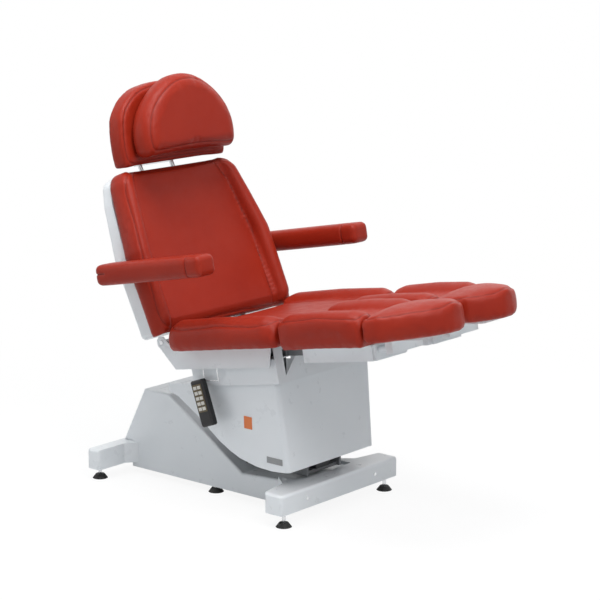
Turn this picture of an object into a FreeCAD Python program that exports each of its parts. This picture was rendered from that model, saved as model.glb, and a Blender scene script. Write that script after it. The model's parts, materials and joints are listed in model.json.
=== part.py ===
import FreeCAD, Part
import math
import os
import re
import Sketcher

# Podiatry chair in its sitting pose, millimetres.
# +X points to the foot end, +Y to the patient's left, +Z up, the floor is at zero.

V = FreeCAD.Vector
DOC = FreeCAD.newDocument("podiatry_chair")
SHEET = DOC.addObject("Spreadsheet::Sheet", "Sizes")

SIZES = {
    # Datum and clearances
    "base_centre_back": 255,
    "running_clearance": 0.05,
    "soft_clearance": 0.4,
    "side_clearance": 1,
    "cut_overrun": 20,
    "sketch_seed_radius": 100,
    "constraint_seed": 1,
    "quarter_turn": 90,
    "edge_match": 1,
    "tangent_match": 0.999,
    # Levelling feet
    "foot_spacing_long": 761,
    "foot_spacing_wide": 475,
    "mid_foot_back": 3,
    "mid_foot_spacing": 220,
    "foot_pad_radius": 24,
    "foot_pad_neck_radius": 14,
    "foot_pad_height": 13,
    "foot_stud_radius": 6,
    "foot_stud_engagement": 22,
    "foot_nut_radius": 11,
    "foot_nut_height": 6,
    "foot_boss_radius": 13,
    # Crossbars under the housing
    "crossbar_length": 546,
    "crossbar_sheet": 4,
    "crossbar_edge_radius": 9,
    "front_bar_toe": 23.5,
    "front_bar_end_depth": 67,
    "front_bar_mid_depth": 86,
    "front_bar_underside": 42,
    "front_bar_height": 61,
    "front_bar_web": 76,
    "front_bar_flare_half": 172,
    "rear_bar_heel": 19.5,
    "rear_bar_underside": 36,
    "rear_bar_height": 64,
    "rear_bar_web": 26,
    "rear_bar_flare_half": 162,
    "bar_screw_spacing": 320,
    "bar_screw_radius": 5,
    "bar_screw_head": 2,
    # Base housing
    "housing_width": 250,
    "housing_sheet": 3,
    "housing_underside": 19,
    "housing_heel_inset": 32.5,
    "housing_overhang": 38,
    "housing_crown_back": 293,
    "housing_crown_front_back": 187,
    "housing_crown_height": 279,
    "ramp_foot_forward": 116,
    "ramp_foot_height": 84,
    "plinth_front_inset": 42.5,
    "plinth_front_height": 98,
    "housing_edge_radius": 7,
    "slot_half_width": 74,
    "slot_back": 186,
    "slot_front": 92,
    "hatch_back": 257,
    "hatch_half_width": 89,
    "hatch_groove": 2,
    "hatch_groove_depth": 1.2,
    "hatch_screw_back": 230,
    "inlet_half_width": 25,
    "inlet_height": 30,
    "inlet_depth": 22,
    "inlet_centre_height": 128,
    "inlet_rim": 4,
    "inlet_wall": 3,
    "inlet_pin_radius": 2,
    # Base chassis
    "rail_width": 24,
    "rail_height": 40,
    "rail_bottom": 21,
    "cross_member_depth": 50,
    "rear_member_back": 255,
    "mid_member_back": 28,
    "front_member_forward": 270,
    "cheek_thickness": 8,
    "cheek_gap": 152,
    "cheek_foot_back": 335,
    "cheek_foot_front": 165,
    "cheek_crown_back": 278,
    "cheek_crown_front": 226,
    "cheek_crown_height": 238,
    "cheek_waist_back": 316,
    "cheek_waist_front": 182,
    "cheek_waist_height": 140,
    # Parallel lift arms
    "rear_pivot_back": 250,
    "upper_pivot_height": 205,
    "lower_pivot_forward": 30,
    "lower_pivot_drop": 90,
    "arm_length": 470,
    "arm_rest_angle": 1.2,
    "arm_depth": 40,
    "arm_plate_thickness": 8,
    "arm_plate_spacing": 128,
    "arm_pin_radius": 9,
    "arm_pin_head": 2,
    "open_pivot_slack": 0.8,
    "arm_hub_radius": 17,
    "arm_tube_radius": 16,
    "upper_tube_along": 235,
    "lower_tube_along": 330,
    "lever_length": 90,
    "lever_rest_angle": 18.4,
    "lever_thickness": 8,
    "lever_gap": 24,
    "lever_width": 26,
    "yoke_pin_radius": 8,
    # Lift drive
    "drive_height": 117,
    "drive_rod_radius": 11,
    "drive_rod_back_end": 262,
    "drive_rod_front_end": 45,
    "drive_tube_radius": 24,
    "drive_tube_back_end": 180,
    "drive_tube_front_end": 20,
    "drive_tube_end_wall": 6,
    "drive_motor_radius": 30,
    "drive_motor_bottom": 64,
    "drive_motor_top": 168,
    "drive_motor_forward": 46,
    "drive_saddle_length": 30,
    "drive_saddle_width": 40,
    "yoke_thickness": 12,
    "yoke_height": 56,
    "yoke_length": 34,
    "yoke_slot_slack": 1.5,
    "yoke_slot_travel": 7,
    # Lift carriage
    "carriage_gap": 144,
    "carriage_plate_thickness": 8,
    "axle_back_of_pivot": 140,
    "axle_above_pivot": 125,
    "axle_radius": 10,
    "axle_half_length": 118,
    "carriage_front": 116,
    "carriage_toe_drop": 108,
    "carriage_heel_drop": 112,
    "carriage_heel_back": 8,
    "carriage_shoulder": 74,
    "carriage_top": 82,
    "carriage_ear_radius": 26,
    "carriage_tie_radius": 12,
    "carriage_tie_forward": 20,
    "carriage_tie_above": 60,
    "carriage_sill_height": 10,
    "carriage_sill_depth": 52,
    "shroud_stay_radius": 8,
    # Tilt drive on the carriage
    "tilt_drive_forward": 80,
    "tilt_tube_radius": 21,
    "tilt_tube_top": 62,
    "tilt_motor_height": 34,
    "tilt_motor_half_width": 30,
    "tilt_rod_radius": 9,
    "tilt_rod_tail": 10,
    "tilt_bore_depth": 58,
    "tilt_lever_length": 220,
    "tilt_lever_rise": 5,
    # Shroud on the carriage
    "stay_one_forward": 40,
    "stay_one_rise": 10,
    "stay_two_forward": 95,
    "stay_two_rise": 50,
    "shroud_sheet": 3,
    "shroud_front_bottom": 148,
    "shroud_front_top": 117,
    "shroud_front_low": 149.2,
    "shroud_front_high": 115.8,
    "shroud_bottom_drop": 66,
    "shroud_top_rise": 202,
    "shroud_trim_spare": 12,
    "shroud_bottom_half": 200,
    "shroud_half_low": 199.4,
    "shroud_half_high": 213.6,
    "shroud_slope": 0.0485,
    "shroud_corner_radius": 14,
    "shroud_back": 324,
    "shroud_back_rise": 106,
    "shroud_back_top_rise": 130,
    "shroud_knee_back": 286,
    "shroud_knee_rise": 96,
    "shroud_hip_back": 209,
    "shroud_hip_rise": 49,
    "shroud_thigh_back": 123,
    "shroud_thigh_drop": 15,
    "shroud_shin_back": 80,
    "shroud_shin_drop": 39,
    "shroud_ankle_back": 41,
    "shroud_ankle_drop": 55,
    "shroud_sole_forward": 22,
    "shroud_sole_drop": 69,
    "shroud_toe_forward": 84,
    "shroud_toe_drop": 72,
    "plate_thickness": 1,
    "plate_seat_gap": 0.2,
    "data_plate_width": 60,
    "data_plate_height": 19,
    "data_plate_forward": 95,
    "data_plate_drop": 38,
    "patch_width": 31,
    "patch_height": 38,
    "patch_back": 4,
    "patch_rise": 62,
    # Seat frame, measured from the backrest hinge along the seat
    "seat_pitch": 10,
    "axle_along_seat": 157,
    "axle_below_hinge": 166,
    "seat_rail_half": 150,
    "seat_rail_width": 25,
    "seat_rail_height": 40,
    "seat_member_height": 20,
    "seat_rail_start": 22,
    "seat_rail_tail": 50,
    "seat_member_width": 40,
    "seat_member_one": 160,
    "seat_member_two": 375,
    "seat_header_width": 20,
    "hanger_plate_gap": 188,
    "hanger_plate_thickness": 8,
    "hanger_plate_length": 80,
    "hanger_foot_radius": 20,
    "tilt_lug_gap": 22,
    "tilt_lug_thickness": 8,
    "tilt_lug_width": 34,
    "hinge_ear_thickness": 8,
    "hinge_ear_radius": 16,
    "hinge_pin_radius": 7,
    "hinge_pin_engagement": 16,
    "leg_hinge_reach": 91,
    "leg_hinge_below": 52,
    "leg_ear_half": 150,
    "leg_ear_radius": 12,
    "leg_pin_radius": 6,
    "leg_pin_half_length": 18,
    "side_panel_half": 238,
    "side_panel_thickness": 4,
    "side_panel_start": 45,
    "side_panel_end": 437,
    "side_panel_foot_end": 422,
    "side_panel_top": 24,
    "side_panel_bottom": 83,
    "side_ear_radius": 18,
    "panel_stay_radius": 8,
    "skirt_half": 222,
    "skirt_sheet": 3,
    "skirt_start": 92,
    "skirt_start_foot": 100,
    "skirt_nose": 7,
    "skirt_rake": 6,
    "skirt_bottom": 136,
    "skirt_flange_inner": 156,
    "skirt_front_top": 30,
    "front_window_inner": 106,
    "front_window_outer": 186,
    "front_window_low": 116,
    "front_window_high": 40,
    "seat_pan_thickness": 4,
    "seat_pan_margin": 5,
    # Backrest drive under the seat
    "back_drive_side": 48,
    "back_drive_below": 72.5,
    "back_lever_length": 78,
    "back_lever_rest_angle": 31,
    "back_drive_tube_radius": 20,
    "back_drive_tube_start": 150,
    "back_drive_tube_end": 330,
    "back_drive_rod_radius": 9,
    "back_drive_rod_tail": 60,
    "back_motor_length": 55,
    "back_motor_half_width": 27,
    "back_clamp_length": 20,
    "back_tube_end_wall": 8,
    "back_motor_top": 52,
    "back_motor_bottom": 99,
    # Seat cushion
    "seat_cushion_start": 86,
    "seat_leg_gap": 4,
    "seat_cushion_half": 318,
    "seat_cushion_bottom": 18,
    "seat_cushion_edge": 50,
    "seat_cushion_crest": 72,
    "seat_cushion_trough": 47,
    "seat_roll_width": 92,
    "cushion_bulge": 7,
    "cushion_end_draw": 14,
    "cushion_end_run": 40,
    # Backrest, measured from the hinge down the back
    "back_lean": 27,
    "back_tube_radius": 14,
    "back_tube_half": 142,
    "back_board_half": 222,
    "back_board_reveal": 1,
    "back_board_low": 40,
    "back_board_high": 500,
    "standoff_radius": 10,
    "shell_window_half": 18,
    "shell_window_rise": 18,
    "back_cushion_start": 14,
    "back_cushion_end": 528,
    "back_cushion_half": 303,
    "back_half_low": 306,
    "back_half_high": 262,
    "back_half_top": 228,
    "back_cushion_rear": 26,
    "back_crest_low": 98,
    "back_crest_mid": 112,
    "back_crest_high": 106,
    "back_crest_shoulder": 96,
    "back_crest_top": 80,
    "back_shoulder_run": 12,
    "back_crest_to_edge": 22,
    "back_cushion_trough": 69,
    "back_trough_high": 78,
    "back_roll_width": 56,
    "back_shell_half": 283,
    "back_shell_half_low": 272,
    "back_shell_half_high": 258,
    "back_shell_half_top": 234,
    "back_shell_shoulder": 40,
    "back_shell_rear_low": 44,
    "back_shell_rear_high": 16,
    "back_shell_start": 24,
    "back_shell_end": 524,
    "back_shell_sheet": 3,
    "back_shell_corner": 40,
    "back_shell_edge_radius": 12,
    "back_shell_heel_radius": 14,
    "back_rail_half": 120,
    "back_rail_width": 25,
    "back_rail_height": 30,
    "back_rail_centre": 6,
    "back_rail_end": 490,
    "back_member_width": 30,
    "back_member_low": 70,
    "back_member_high": 470,
    # Armrests
    "arm_pivot_up": 233,
    "arm_pivot_out": 6,
    "armrest_pitch": 11,
    "armrest_length": 432,
    "armrest_tail": 26,
    "armrest_width": 73,
    "armrest_height": 62,
    "armrest_drop": 36,
    "armrest_inner_half": 316,
    "armrest_edge_radius": 16,
    "armrest_shaft_radius": 10,
    "armrest_shaft_reach": 50,
    "armrest_collar_radius": 17,
    "armrest_slit_depth": 4,
    "armrest_slit_height": 3,
    # Headrest
    "post_half": 70,
    "post_centre": 6,
    "post_top_gap": 12,
    "post_travel": 5,
    "post_head_half": 86,
    "post_head_height": 20,
    "post_lug_thickness": 8,
    "post_lug_centre": 48,
    "post_lug_half_height": 10,
    "post_lug_foot": 30,
    "post_radius": 7,
    "post_inside": 150,
    "head_hinge_up": 588,
    "head_hinge_out": 16,
    "head_lean": 10,
    "head_tube_radius": 9,
    "head_tube_half": 42,
    "head_pin_radius": 5,
    "head_plate_thickness": 8,
    "head_plate_half": 110,
    "head_plate_top": 170,
    "head_cushion_rear": 36,
    "head_cushion_thickness": 66,
    "head_cushion_height": 257,
    "head_cushion_half": 231,
    "head_half_low": 224,
    "head_half_shoulder": 224,
    "head_half_temple": 180,
    "head_half_top": 98,
    "head_cushion_drop": 35,
    "pillow_gap": 1,
    "pillow_thickness": 86,
    "pillow_height": 240,
    "pillow_half": 199,
    "pillow_half_low": 192,
    "pillow_half_shoulder": 175,
    "pillow_half_temple": 122,
    "pillow_half_top": 58,
    "pad_waist_share": 0.33,
    "pad_shoulder_share": 0.58,
    "pad_temple_share": 0.81,
    "pad_top_share": 0.96,
    "head_cushion_round": 16,
    "pillow_round": 42,
    "pillow_rear_round": 28,
    "head_rear_round": 8,
    "pillow_drop": 9,
    # Leg rests, measured from the leg hinge
    "leg_box_start": 14,
    "leg_box_end": 268,
    "leg_box_inner": 50,
    "leg_box_outer": 207,
    "leg_box_top": 22,
    "leg_box_height": 48,
    "leg_box_sheet": 3,
    "calf_start": 10,
    "calf_end": 312,
    "calf_bottom": 27,
    "calf_inner": 5,
    "calf_outer": 312,
    "calf_edge": 108,
    "calf_crest": 128,
    "calf_trough": 104,
    "calf_roll_width": 92,
    "slide_box_start": 200,
    "slide_box_end": 276,
    "slide_box_inner": 66,
    "slide_box_outer": 200,
    "slide_rod_radius": 8,
    "slide_rod_half": 50,
    "slide_centre": 133,
    "slide_rod_start": 60,
    "slide_rod_level": 5,
    "leg_board_end": 300,
    "leg_board_margin": 20,
    "leg_lug_gap": 2,
    "leg_lug_thickness": 8,
    "foot_bracket_depth": 24,
    "foot_bracket_bottom": 4,
    "foot_bracket_start": 314,
    "foot_board_start": 314,
    "foot_board_end": 460,
    "foot_board_thickness": 8,
    "foot_board_half": 70,
    "foot_board_corner": 30,
    "foot_station_a": 322,
    "foot_outer_a": 308,
    "foot_inner_a": 8,
    "foot_station_b": 368,
    "foot_outer_b": 300,
    "foot_inner_b": 8,
    "foot_station_c": 408,
    "foot_outer_c": 272,
    "foot_inner_c": 9,
    "foot_station_d": 446,
    "foot_outer_d": 242,
    "foot_inner_d": 15,
    "foot_station_e": 482,
    "foot_outer_e": 206,
    "foot_inner_e": 48,
    "foot_station_f": 504,
    "foot_outer_f": 172,
    "foot_inner_f": 80,
    "foot_station_g": 514,
    "foot_outer_g": 142,
    "foot_inner_g": 106,
    "foot_bottom": 37,
    "foot_edge": 108,
    "foot_crest": 127,
    # Hand control
    "handset_half": 250,
    "handset_forward": 183.5,
    "handset_below": 153,
    "handset_lean": 20,
    "handset_width": 50,
    "handset_length": 142,
    "handset_depth": 24,
    "handset_edge_radius": 7,
    "keypad_width": 36,
    "keypad_length": 84,
    "keypad_rise": 16,
    "keypad_thickness": 1.2,
    "key_columns": 2,
    "key_rows": 5,
    "key_width": 12,
    "key_length": 10,
    "key_height": 4.5,
    "key_travel": 1.5,
    "key_well": 4,
    "key_gap": 0.3,
    "key_pitch_across": 16,
    "key_pitch_along": 16,
    "hook_radius": 2,
    "hook_rung_radius": 1.6,
    "hook_reach": 36,
    "hook_first_along": 156,
    "hook_second_along": 212,
}


def fill_sheet():
    """Writes each size into the sheet as a plain number with its alias."""
    for row, (name, number) in enumerate(SIZES.items(), start=1):
        SHEET.set(f"A{row}", name)
        SHEET.set(f"B{row}", str(number))
        SHEET.setAlias(f"B{row}", name)
    DOC.recompute()


def size(name):
    return float(SHEET.get(name))


def bound(text):
    """The same expression with each size name pointing into the sheet."""
    def refer(match):
        word = match.group(0)
        return "Sizes." + word if word in SIZES else word
    return re.sub(r"[a-z][a-z_]*", refer, text)


def tie(item, path, text):
    item.setExpression(path, bound(text))


fill_sheet()
SUB_PARTS = []


def sub_part(label, item, frame=None):
    """Registers an object as one named piece of the chair, in its place."""
    item.Label = label
    if frame is not None:
        item.Placement = frame
    SUB_PARTS.append(item)
    return item


def turn_y(angle):
    return FreeCAD.Rotation(V(0, 1, 0), angle)


def frame_at(x, y, z, angle=0):
    return FreeCAD.Placement(V(x, y, z), turn_y(angle))


# Primitives and joins, with every size tied to the sheet

def block(name, x_from, x_to, y_from, y_to, z_from, z_to):
    item = DOC.addObject("Part::Box", name)
    tie(item, "Length", f"({x_to}) - ({x_from})")
    tie(item, "Width", f"({y_to}) - ({y_from})")
    tie(item, "Height", f"({z_to}) - ({z_from})")
    tie(item, "Placement.Base.x", x_from)
    tie(item, "Placement.Base.y", y_from)
    tie(item, "Placement.Base.z", z_from)
    return item


ROD_TURNS = {
    "x": FreeCAD.Rotation(V(0, 1, 0), size("quarter_turn")),
    "y": FreeCAD.Rotation(V(1, 0, 0), -size("quarter_turn")),
    "z": FreeCAD.Rotation(),
}


def rod(name, axis, radius, start, end, across):
    """A round bar along one axis; across gives its other two coordinates."""
    item = DOC.addObject("Part::Cylinder", name)
    tie(item, "Radius", radius)
    tie(item, "Height", f"({end}) - ({start})")
    item.Placement = FreeCAD.Placement(V(0, 0, 0), ROD_TURNS[axis])
    rest = list(across)
    for letter in "xyz":
        place = start if letter == axis else rest.pop(0)
        tie(item, "Placement.Base." + letter, place)
    return item


def weld(name, pieces):
    item = DOC.addObject("Part::MultiFuse", name)
    item.Shapes = pieces
    return item


def group(name, pieces):
    item = DOC.addObject("Part::Compound", name)
    item.Links = pieces
    return item


def cut(name, base, tools):
    item = DOC.addObject("Part::Cut", name)
    item.Base = base
    item.Tool = tools[0] if len(tools) == 1 else weld(name + "_tools", tools)
    return item


# Sketched bodies

def origin_plane(body, role):
    return [item for item in body.Origin.OriginFeatures if item.Role == role][0]


def sketch(body, role, outline, holes=(), lift=None):
    """A closed outline of (x, y) expressions, with round holes (x, y, radius)."""
    item = body.newObject("Sketcher::SketchObject", body.Name + "_sketch")
    item.AttachmentSupport = [(origin_plane(body, role), "")]
    item.MapMode = "FlatFace"
    if lift is not None:
        tie(item, "AttachmentOffset.Base.z", lift)
    count = len(outline)
    for index in range(count):
        angle = 2 * math.pi * index / max(count, 1)
        after = 2 * math.pi * (index + 1) / max(count, 1)
        start = V(math.cos(angle), math.sin(angle), 0) * size("sketch_seed_radius")
        end = V(math.cos(after), math.sin(after), 0) * size("sketch_seed_radius")
        item.addGeometry(Part.LineSegment(start, end), False)
    for index in range(count):
        item.addConstraint(Sketcher.Constraint("Coincident", index, 2, (index + 1) % count, 1))
    for index, (along, up) in enumerate(outline):
        pin_point(item, index, 1, along, up)
    for along, up, radius in holes:
        ring = item.addGeometry(Part.Circle(V(0, 0, 0), V(0, 0, 1), 1), False)
        pin_point(item, ring, 3, along, up)
        constraint = item.addConstraint(Sketcher.Constraint("Radius", ring, size("constraint_seed")))
        tie(item, f"Constraints[{constraint}]", radius)
    return item


def pin_point(item, geometry, point, along, up):
    for kind, text in (("DistanceX", along), ("DistanceY", up)):
        constraint = item.addConstraint(Sketcher.Constraint(
            kind, -1, 1, geometry, point, size("constraint_seed")))
        tie(item, f"Constraints[{constraint}]", text)


def new_body(name):
    return DOC.addObject("PartDesign::Body", name)


def pad(body, profile, length, middle=True, backward=False):
    item = body.newObject("PartDesign::Pad", body.Name + "_pad")
    item.Profile = profile
    item.Midplane = middle
    item.Reversed = backward
    tie(item, "Length", length)
    return item


def pocket(body, profile, length, middle=True, backward=False):
    item = body.newObject("PartDesign::Pocket", body.Name + "_pocket")
    item.Profile = profile
    item.Midplane = middle
    item.Reversed = backward
    tie(item, "Length", length)
    return item


def matches(value, target):
    return abs(value - target) < size("edge_match")


def is_along(edge, direction):
    if not isinstance(edge.Curve, Part.Line):
        return False
    return abs(edge.tangentAt(edge.FirstParameter).dot(direction)) > size("tangent_match")


def round_edges(body, feature, radius, keep):
    """Rounds the edges of a feature for which keep(edge) is true."""
    DOC.recompute()
    names = [f"Edge{number}" for number, edge in enumerate(feature.Shape.Edges, start=1) if keep(edge)]
    item = body.newObject("PartDesign::Fillet", body.Name + "_fillet")
    item.Base = (feature, names)
    tie(item, "Radius", radius)
    DOC.recompute()
    return item


def plate(name, role, outline, thickness, holes=(), lift=None, middle=True):
    body = new_body(name)
    pad(body, sketch(body, role, outline, holes, lift), thickness, middle)
    return body


def mirrored_name(name, side):
    return f"{name}_{'left' if side > 0 else 'right'}"


# Places that several groups share

# Crossbar faces and the housing's ends follow the spacing of the feet.
BAR_FACE = "(foot_spacing_long / 2 + front_bar_toe)"
BAR_BACK = "(foot_spacing_long / 2 + rear_bar_heel)"
HEEL = "(foot_spacing_long / 2 - housing_heel_inset)"
OVERHANG = f"({HEEL} + housing_overhang)"
PLINTH = "(foot_spacing_long / 2 - plinth_front_inset)"
HALF_SPACING = size("foot_spacing_long") / 2

BASE = frame_at(-size("base_centre_back"), 0, 0)
RISE = size("arm_rest_angle")
PITCH = size("seat_pitch")

UPPER_PIVOT = V(-size("base_centre_back") - size("rear_pivot_back"), 0, size("upper_pivot_height"))
LOWER_PIVOT = UPPER_PIVOT + V(size("lower_pivot_forward"), 0, -size("lower_pivot_drop"))
ARM_VECTOR = turn_y(-RISE).multVec(V(size("arm_length"), 0, 0))
UPPER_FRONT = UPPER_PIVOT + ARM_VECTOR
LOWER_FRONT = LOWER_PIVOT + ARM_VECTOR
AXLE = UPPER_FRONT + V(-size("axle_back_of_pivot"), 0, size("axle_above_pivot"))
SEAT_TURN = turn_y(-PITCH)
HINGE = AXLE - SEAT_TURN.multVec(V(size("axle_along_seat"), 0, -size("axle_below_hinge")))
SEAT = FreeCAD.Placement(HINGE, SEAT_TURN)
CARRIAGE = FreeCAD.Placement(UPPER_FRONT, FreeCAD.Rotation())
BACK = FreeCAD.Placement(HINGE, turn_y(size("quarter_turn") - size("back_lean")))
HEAD_HINGE = BACK.multVec(V(-size("head_hinge_up"), 0, size("head_hinge_out")))
HEAD = FreeCAD.Placement(HEAD_HINGE, turn_y(size("quarter_turn") - size("head_lean")))
ARM_HINGE = BACK.multVec(V(-size("arm_pivot_up"), 0, size("arm_pivot_out")))
ARMREST = FreeCAD.Placement(ARM_HINGE, turn_y(-size("armrest_pitch")))
LEG_REACH = size("seat_member_two") + size("seat_rail_tail") + size("leg_hinge_reach")
LEG_HINGE = SEAT.multVec(V(LEG_REACH, 0, -size("leg_hinge_below")))
LEG = FreeCAD.Placement(LEG_HINGE, SEAT_TURN)
TILT_PIN = AXLE + V(size("tilt_lever_length"), 0, size("tilt_lever_rise"))


# Base: feet, crossbars, housing and chassis, measured from the middle of the feet

def foot_places():
    """The six feet as (along, across) expressions, with the floor gap above each pad."""
    front = "foot_spacing_long / 2"
    rear = "-foot_spacing_long / 2"
    places = []
    for side in (-1, 1):
        wide = f"{side} * foot_spacing_wide / 2"
        places.append((front, wide, "front_bar_underside"))
        places.append((rear, wide, "rear_bar_underside"))
        places.append(("-mid_foot_back", f"{side} * mid_foot_spacing / 2", "rail_bottom"))
    return places


def levelling_feet():
    pads = []
    studs = []
    nuts = []
    for number, (along, across, seat) in enumerate(foot_places()):
        cone = DOC.addObject("Part::Cone", f"foot_pad_cone_{number}")
        tie(cone, "Radius1", "foot_pad_radius")
        tie(cone, "Radius2", "foot_pad_neck_radius")
        tie(cone, "Height", "foot_pad_height")
        tie(cone, "Placement.Base.x", along)
        tie(cone, "Placement.Base.y", across)
        pads.append(cone)
        top = f"{seat} + foot_stud_engagement"
        studs.append(rod(f"stud_{number}", "z", "foot_stud_radius", "foot_pad_height", top, (along, across)))
        nut = DOC.addObject("Part::Prism", f"nut_{number}")
        nut.Polygon = 6
        tie(nut, "Circumradius", "foot_nut_radius")
        tie(nut, "Height", "foot_nut_height")
        tie(nut, "Placement.Base.x", along)
        tie(nut, "Placement.Base.y", across)
        tie(nut, "Placement.Base.z", f"{seat} - foot_nut_height")
        hole = "foot_stud_radius + running_clearance"
        bore = rod(f"nut_bore_{number}", "z", hole, "0", f"{seat} + cut_overrun", (along, across))
        nuts.append(cut(f"nut_cut_{number}", nut, [bore]))
    sub_part("levelling_pads", group("levelling_pads", pads), BASE)
    sub_part("levelling_studs", group("levelling_studs", studs), BASE)
    sub_part("levelling_nuts", group("levelling_nuts", nuts), BASE)


def foot_boss(name, body, along, across, underside, height):
    """A tapped boss inside a crossbar that takes one stud."""
    profile = body.newObject("Sketcher::SketchObject", name)
    profile.AttachmentSupport = [(origin_plane(body, "XY_Plane"), "")]
    profile.MapMode = "FlatFace"
    tie(profile, "AttachmentOffset.Base.z", underside)
    for radius in ("foot_boss_radius", "foot_stud_radius + running_clearance"):
        ring = profile.addGeometry(Part.Circle(V(0, 0, 0), V(0, 0, 1), 1), False)
        pin_point(profile, ring, 3, along, across)
        constraint = profile.addConstraint(Sketcher.Constraint("Radius", ring, size("constraint_seed")))
        tie(profile, f"Constraints[{constraint}]", radius)
    pad(body, profile, height, middle=False)


def hollow_bar(name, outer, inner, underside, height, along, rounded):
    """A crossbar folded from sheet, open below, with a boss at each end."""
    body = new_body(name)
    shape = pad(body, sketch(body, "XY_Plane", outer, lift=underside), height, middle=False)
    shape = round_edges(body, shape, "crossbar_edge_radius", rounded)
    hollow = sketch(body, "XY_Plane", inner, lift=underside)
    pocket(body, hollow, f"{height} - crossbar_sheet", middle=False, backward=True)
    for side in (-1, 1):
        across = f"{side} * foot_spacing_wide / 2"
        foot_boss(f"{name}_boss_{side + 1}", body, along, across, underside, f"{height} - crossbar_sheet / 2")
    return body


def front_crossbar():
    end = "crossbar_length / 2"
    wall = "housing_width / 2"
    flare = "front_bar_flare_half"
    back_end = f"{BAR_FACE} - front_bar_end_depth"
    back_mid = f"{BAR_FACE} - front_bar_mid_depth"
    web = f"{PLINTH} - front_bar_web"
    gap = "crossbar_sheet"
    outer = [
        (BAR_FACE, f"-({end})"), (BAR_FACE, end), (back_end, end), (back_mid, flare),
        (web, wall), (PLINTH, wall), (PLINTH, f"-({wall})"), (web, f"-({wall})"),
        (back_mid, f"-({flare})"), (back_end, f"-({end})"),
    ]
    inner = [
        (f"{BAR_FACE} - {gap}", f"-({end}) + {gap}"), (f"{BAR_FACE} - {gap}", f"{end} - {gap}"),
        (f"{back_end} + {gap}", f"{end} - {gap}"), (f"{back_mid} + {gap}", f"{flare} + {gap}"),
        (f"{PLINTH} + {gap}", f"{wall} + {gap}"), (f"{PLINTH} + {gap}", f"-({wall}) - {gap}"),
        (f"{back_mid} + {gap}", f"-({flare}) - {gap}"), (f"{back_end} + {gap}", f"-({end}) + {gap}"),
    ]
    face = HALF_SPACING + size("front_bar_toe")
    half = size("crossbar_length") / 2
    top = size("front_bar_underside") + size("front_bar_height")

    def rounded(edge):
        middle = edge.BoundBox.Center
        on_top = matches(middle.z, top) and (middle.x > face - size("edge_match") or matches(abs(middle.y), half))
        upright = is_along(edge, V(0, 0, 1)) and matches(abs(middle.y), half)
        return on_top or upright

    body = hollow_bar(
        "front_crossbar", outer, inner, "front_bar_underside", "front_bar_height", "foot_spacing_long / 2", rounded)
    sub_part("front_crossbar", body, BASE)
    heads = []
    for side in (-1, 1):
        place = (f"{side} * bar_screw_spacing / 2", "front_bar_underside + front_bar_height / 2")
        tip = f"{BAR_FACE} + bar_screw_head"
        heads.append(rod(f"bar_screw_{side + 1}", "x", "bar_screw_radius", BAR_FACE, tip, place))
    hatch_top = "housing_crown_height + bar_screw_head"
    spot = ("-hatch_screw_back", "-hatch_half_width * 2 / 3")
    heads.append(rod("hatch_screw", "z", "bar_screw_radius", "housing_crown_height", hatch_top, spot))
    sub_part("cover_screws", group("cover_screws", heads), BASE)


def rear_crossbar():
    end = "crossbar_length / 2"
    wall = "housing_width / 2"
    flare = "rear_bar_flare_half"
    back = f"-{BAR_BACK}"
    front = f"-{HEEL}"
    web = f"rear_bar_web - {HEEL}"
    gap = "crossbar_sheet"
    outer = [
        (back, f"-({end})"), (front, f"-({end})"), (front, f"-({flare})"), (web, f"-({wall})"),
        (front, f"-({wall})"), (front, wall), (web, wall), (front, flare), (front, end), (back, end),
    ]
    inner = [
        (f"{back} + {gap}", f"-({end}) + {gap}"), (f"{front} - {gap}", f"-({end}) + {gap}"),
        (f"{front} - {gap}", f"{end} - {gap}"), (f"{back} + {gap}", f"{end} - {gap}"),
    ]
    half = size("crossbar_length") / 2
    rear = -HALF_SPACING - size("rear_bar_heel")
    top = size("rear_bar_underside") + size("rear_bar_height")

    def rounded(edge):
        middle = edge.BoundBox.Center
        on_top = matches(middle.z, top) and (middle.x < rear + size("edge_match") or matches(abs(middle.y), half))
        upright = is_along(edge, V(0, 0, 1)) and matches(abs(middle.y), half)
        return on_top or upright

    body = hollow_bar(
        "rear_crossbar", outer, inner, "rear_bar_underside", "rear_bar_height", "-foot_spacing_long / 2", rounded)
    sub_part("rear_crossbar", body, BASE)


def housing_outline(inset):
    """The housing seen from the side; inset moves every wall inwards."""
    rear_top = "rear_bar_underside + rear_bar_height"
    return [
        (f"-{HEEL} + {inset}", f"housing_underside - cut_overrun * ({inset}) / housing_sheet"),
        (f"-{HEEL} + {inset}", f"{rear_top} + {inset}"),
        (f"-{OVERHANG} + 2 * ({inset})", f"{rear_top} + {inset}"),
        (f"-housing_crown_back + {inset}", f"housing_crown_height - {inset}"),
        (f"-housing_crown_front_back - {inset} / 2", f"housing_crown_height - {inset}"),
        (f"ramp_foot_forward - {inset} / 2", f"ramp_foot_height - {inset}"),
        (f"{PLINTH} - {inset}", f"plinth_front_height - {inset}"),
        (f"{PLINTH} - {inset}", f"housing_underside - cut_overrun * ({inset}) / housing_sheet"),
    ]


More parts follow.
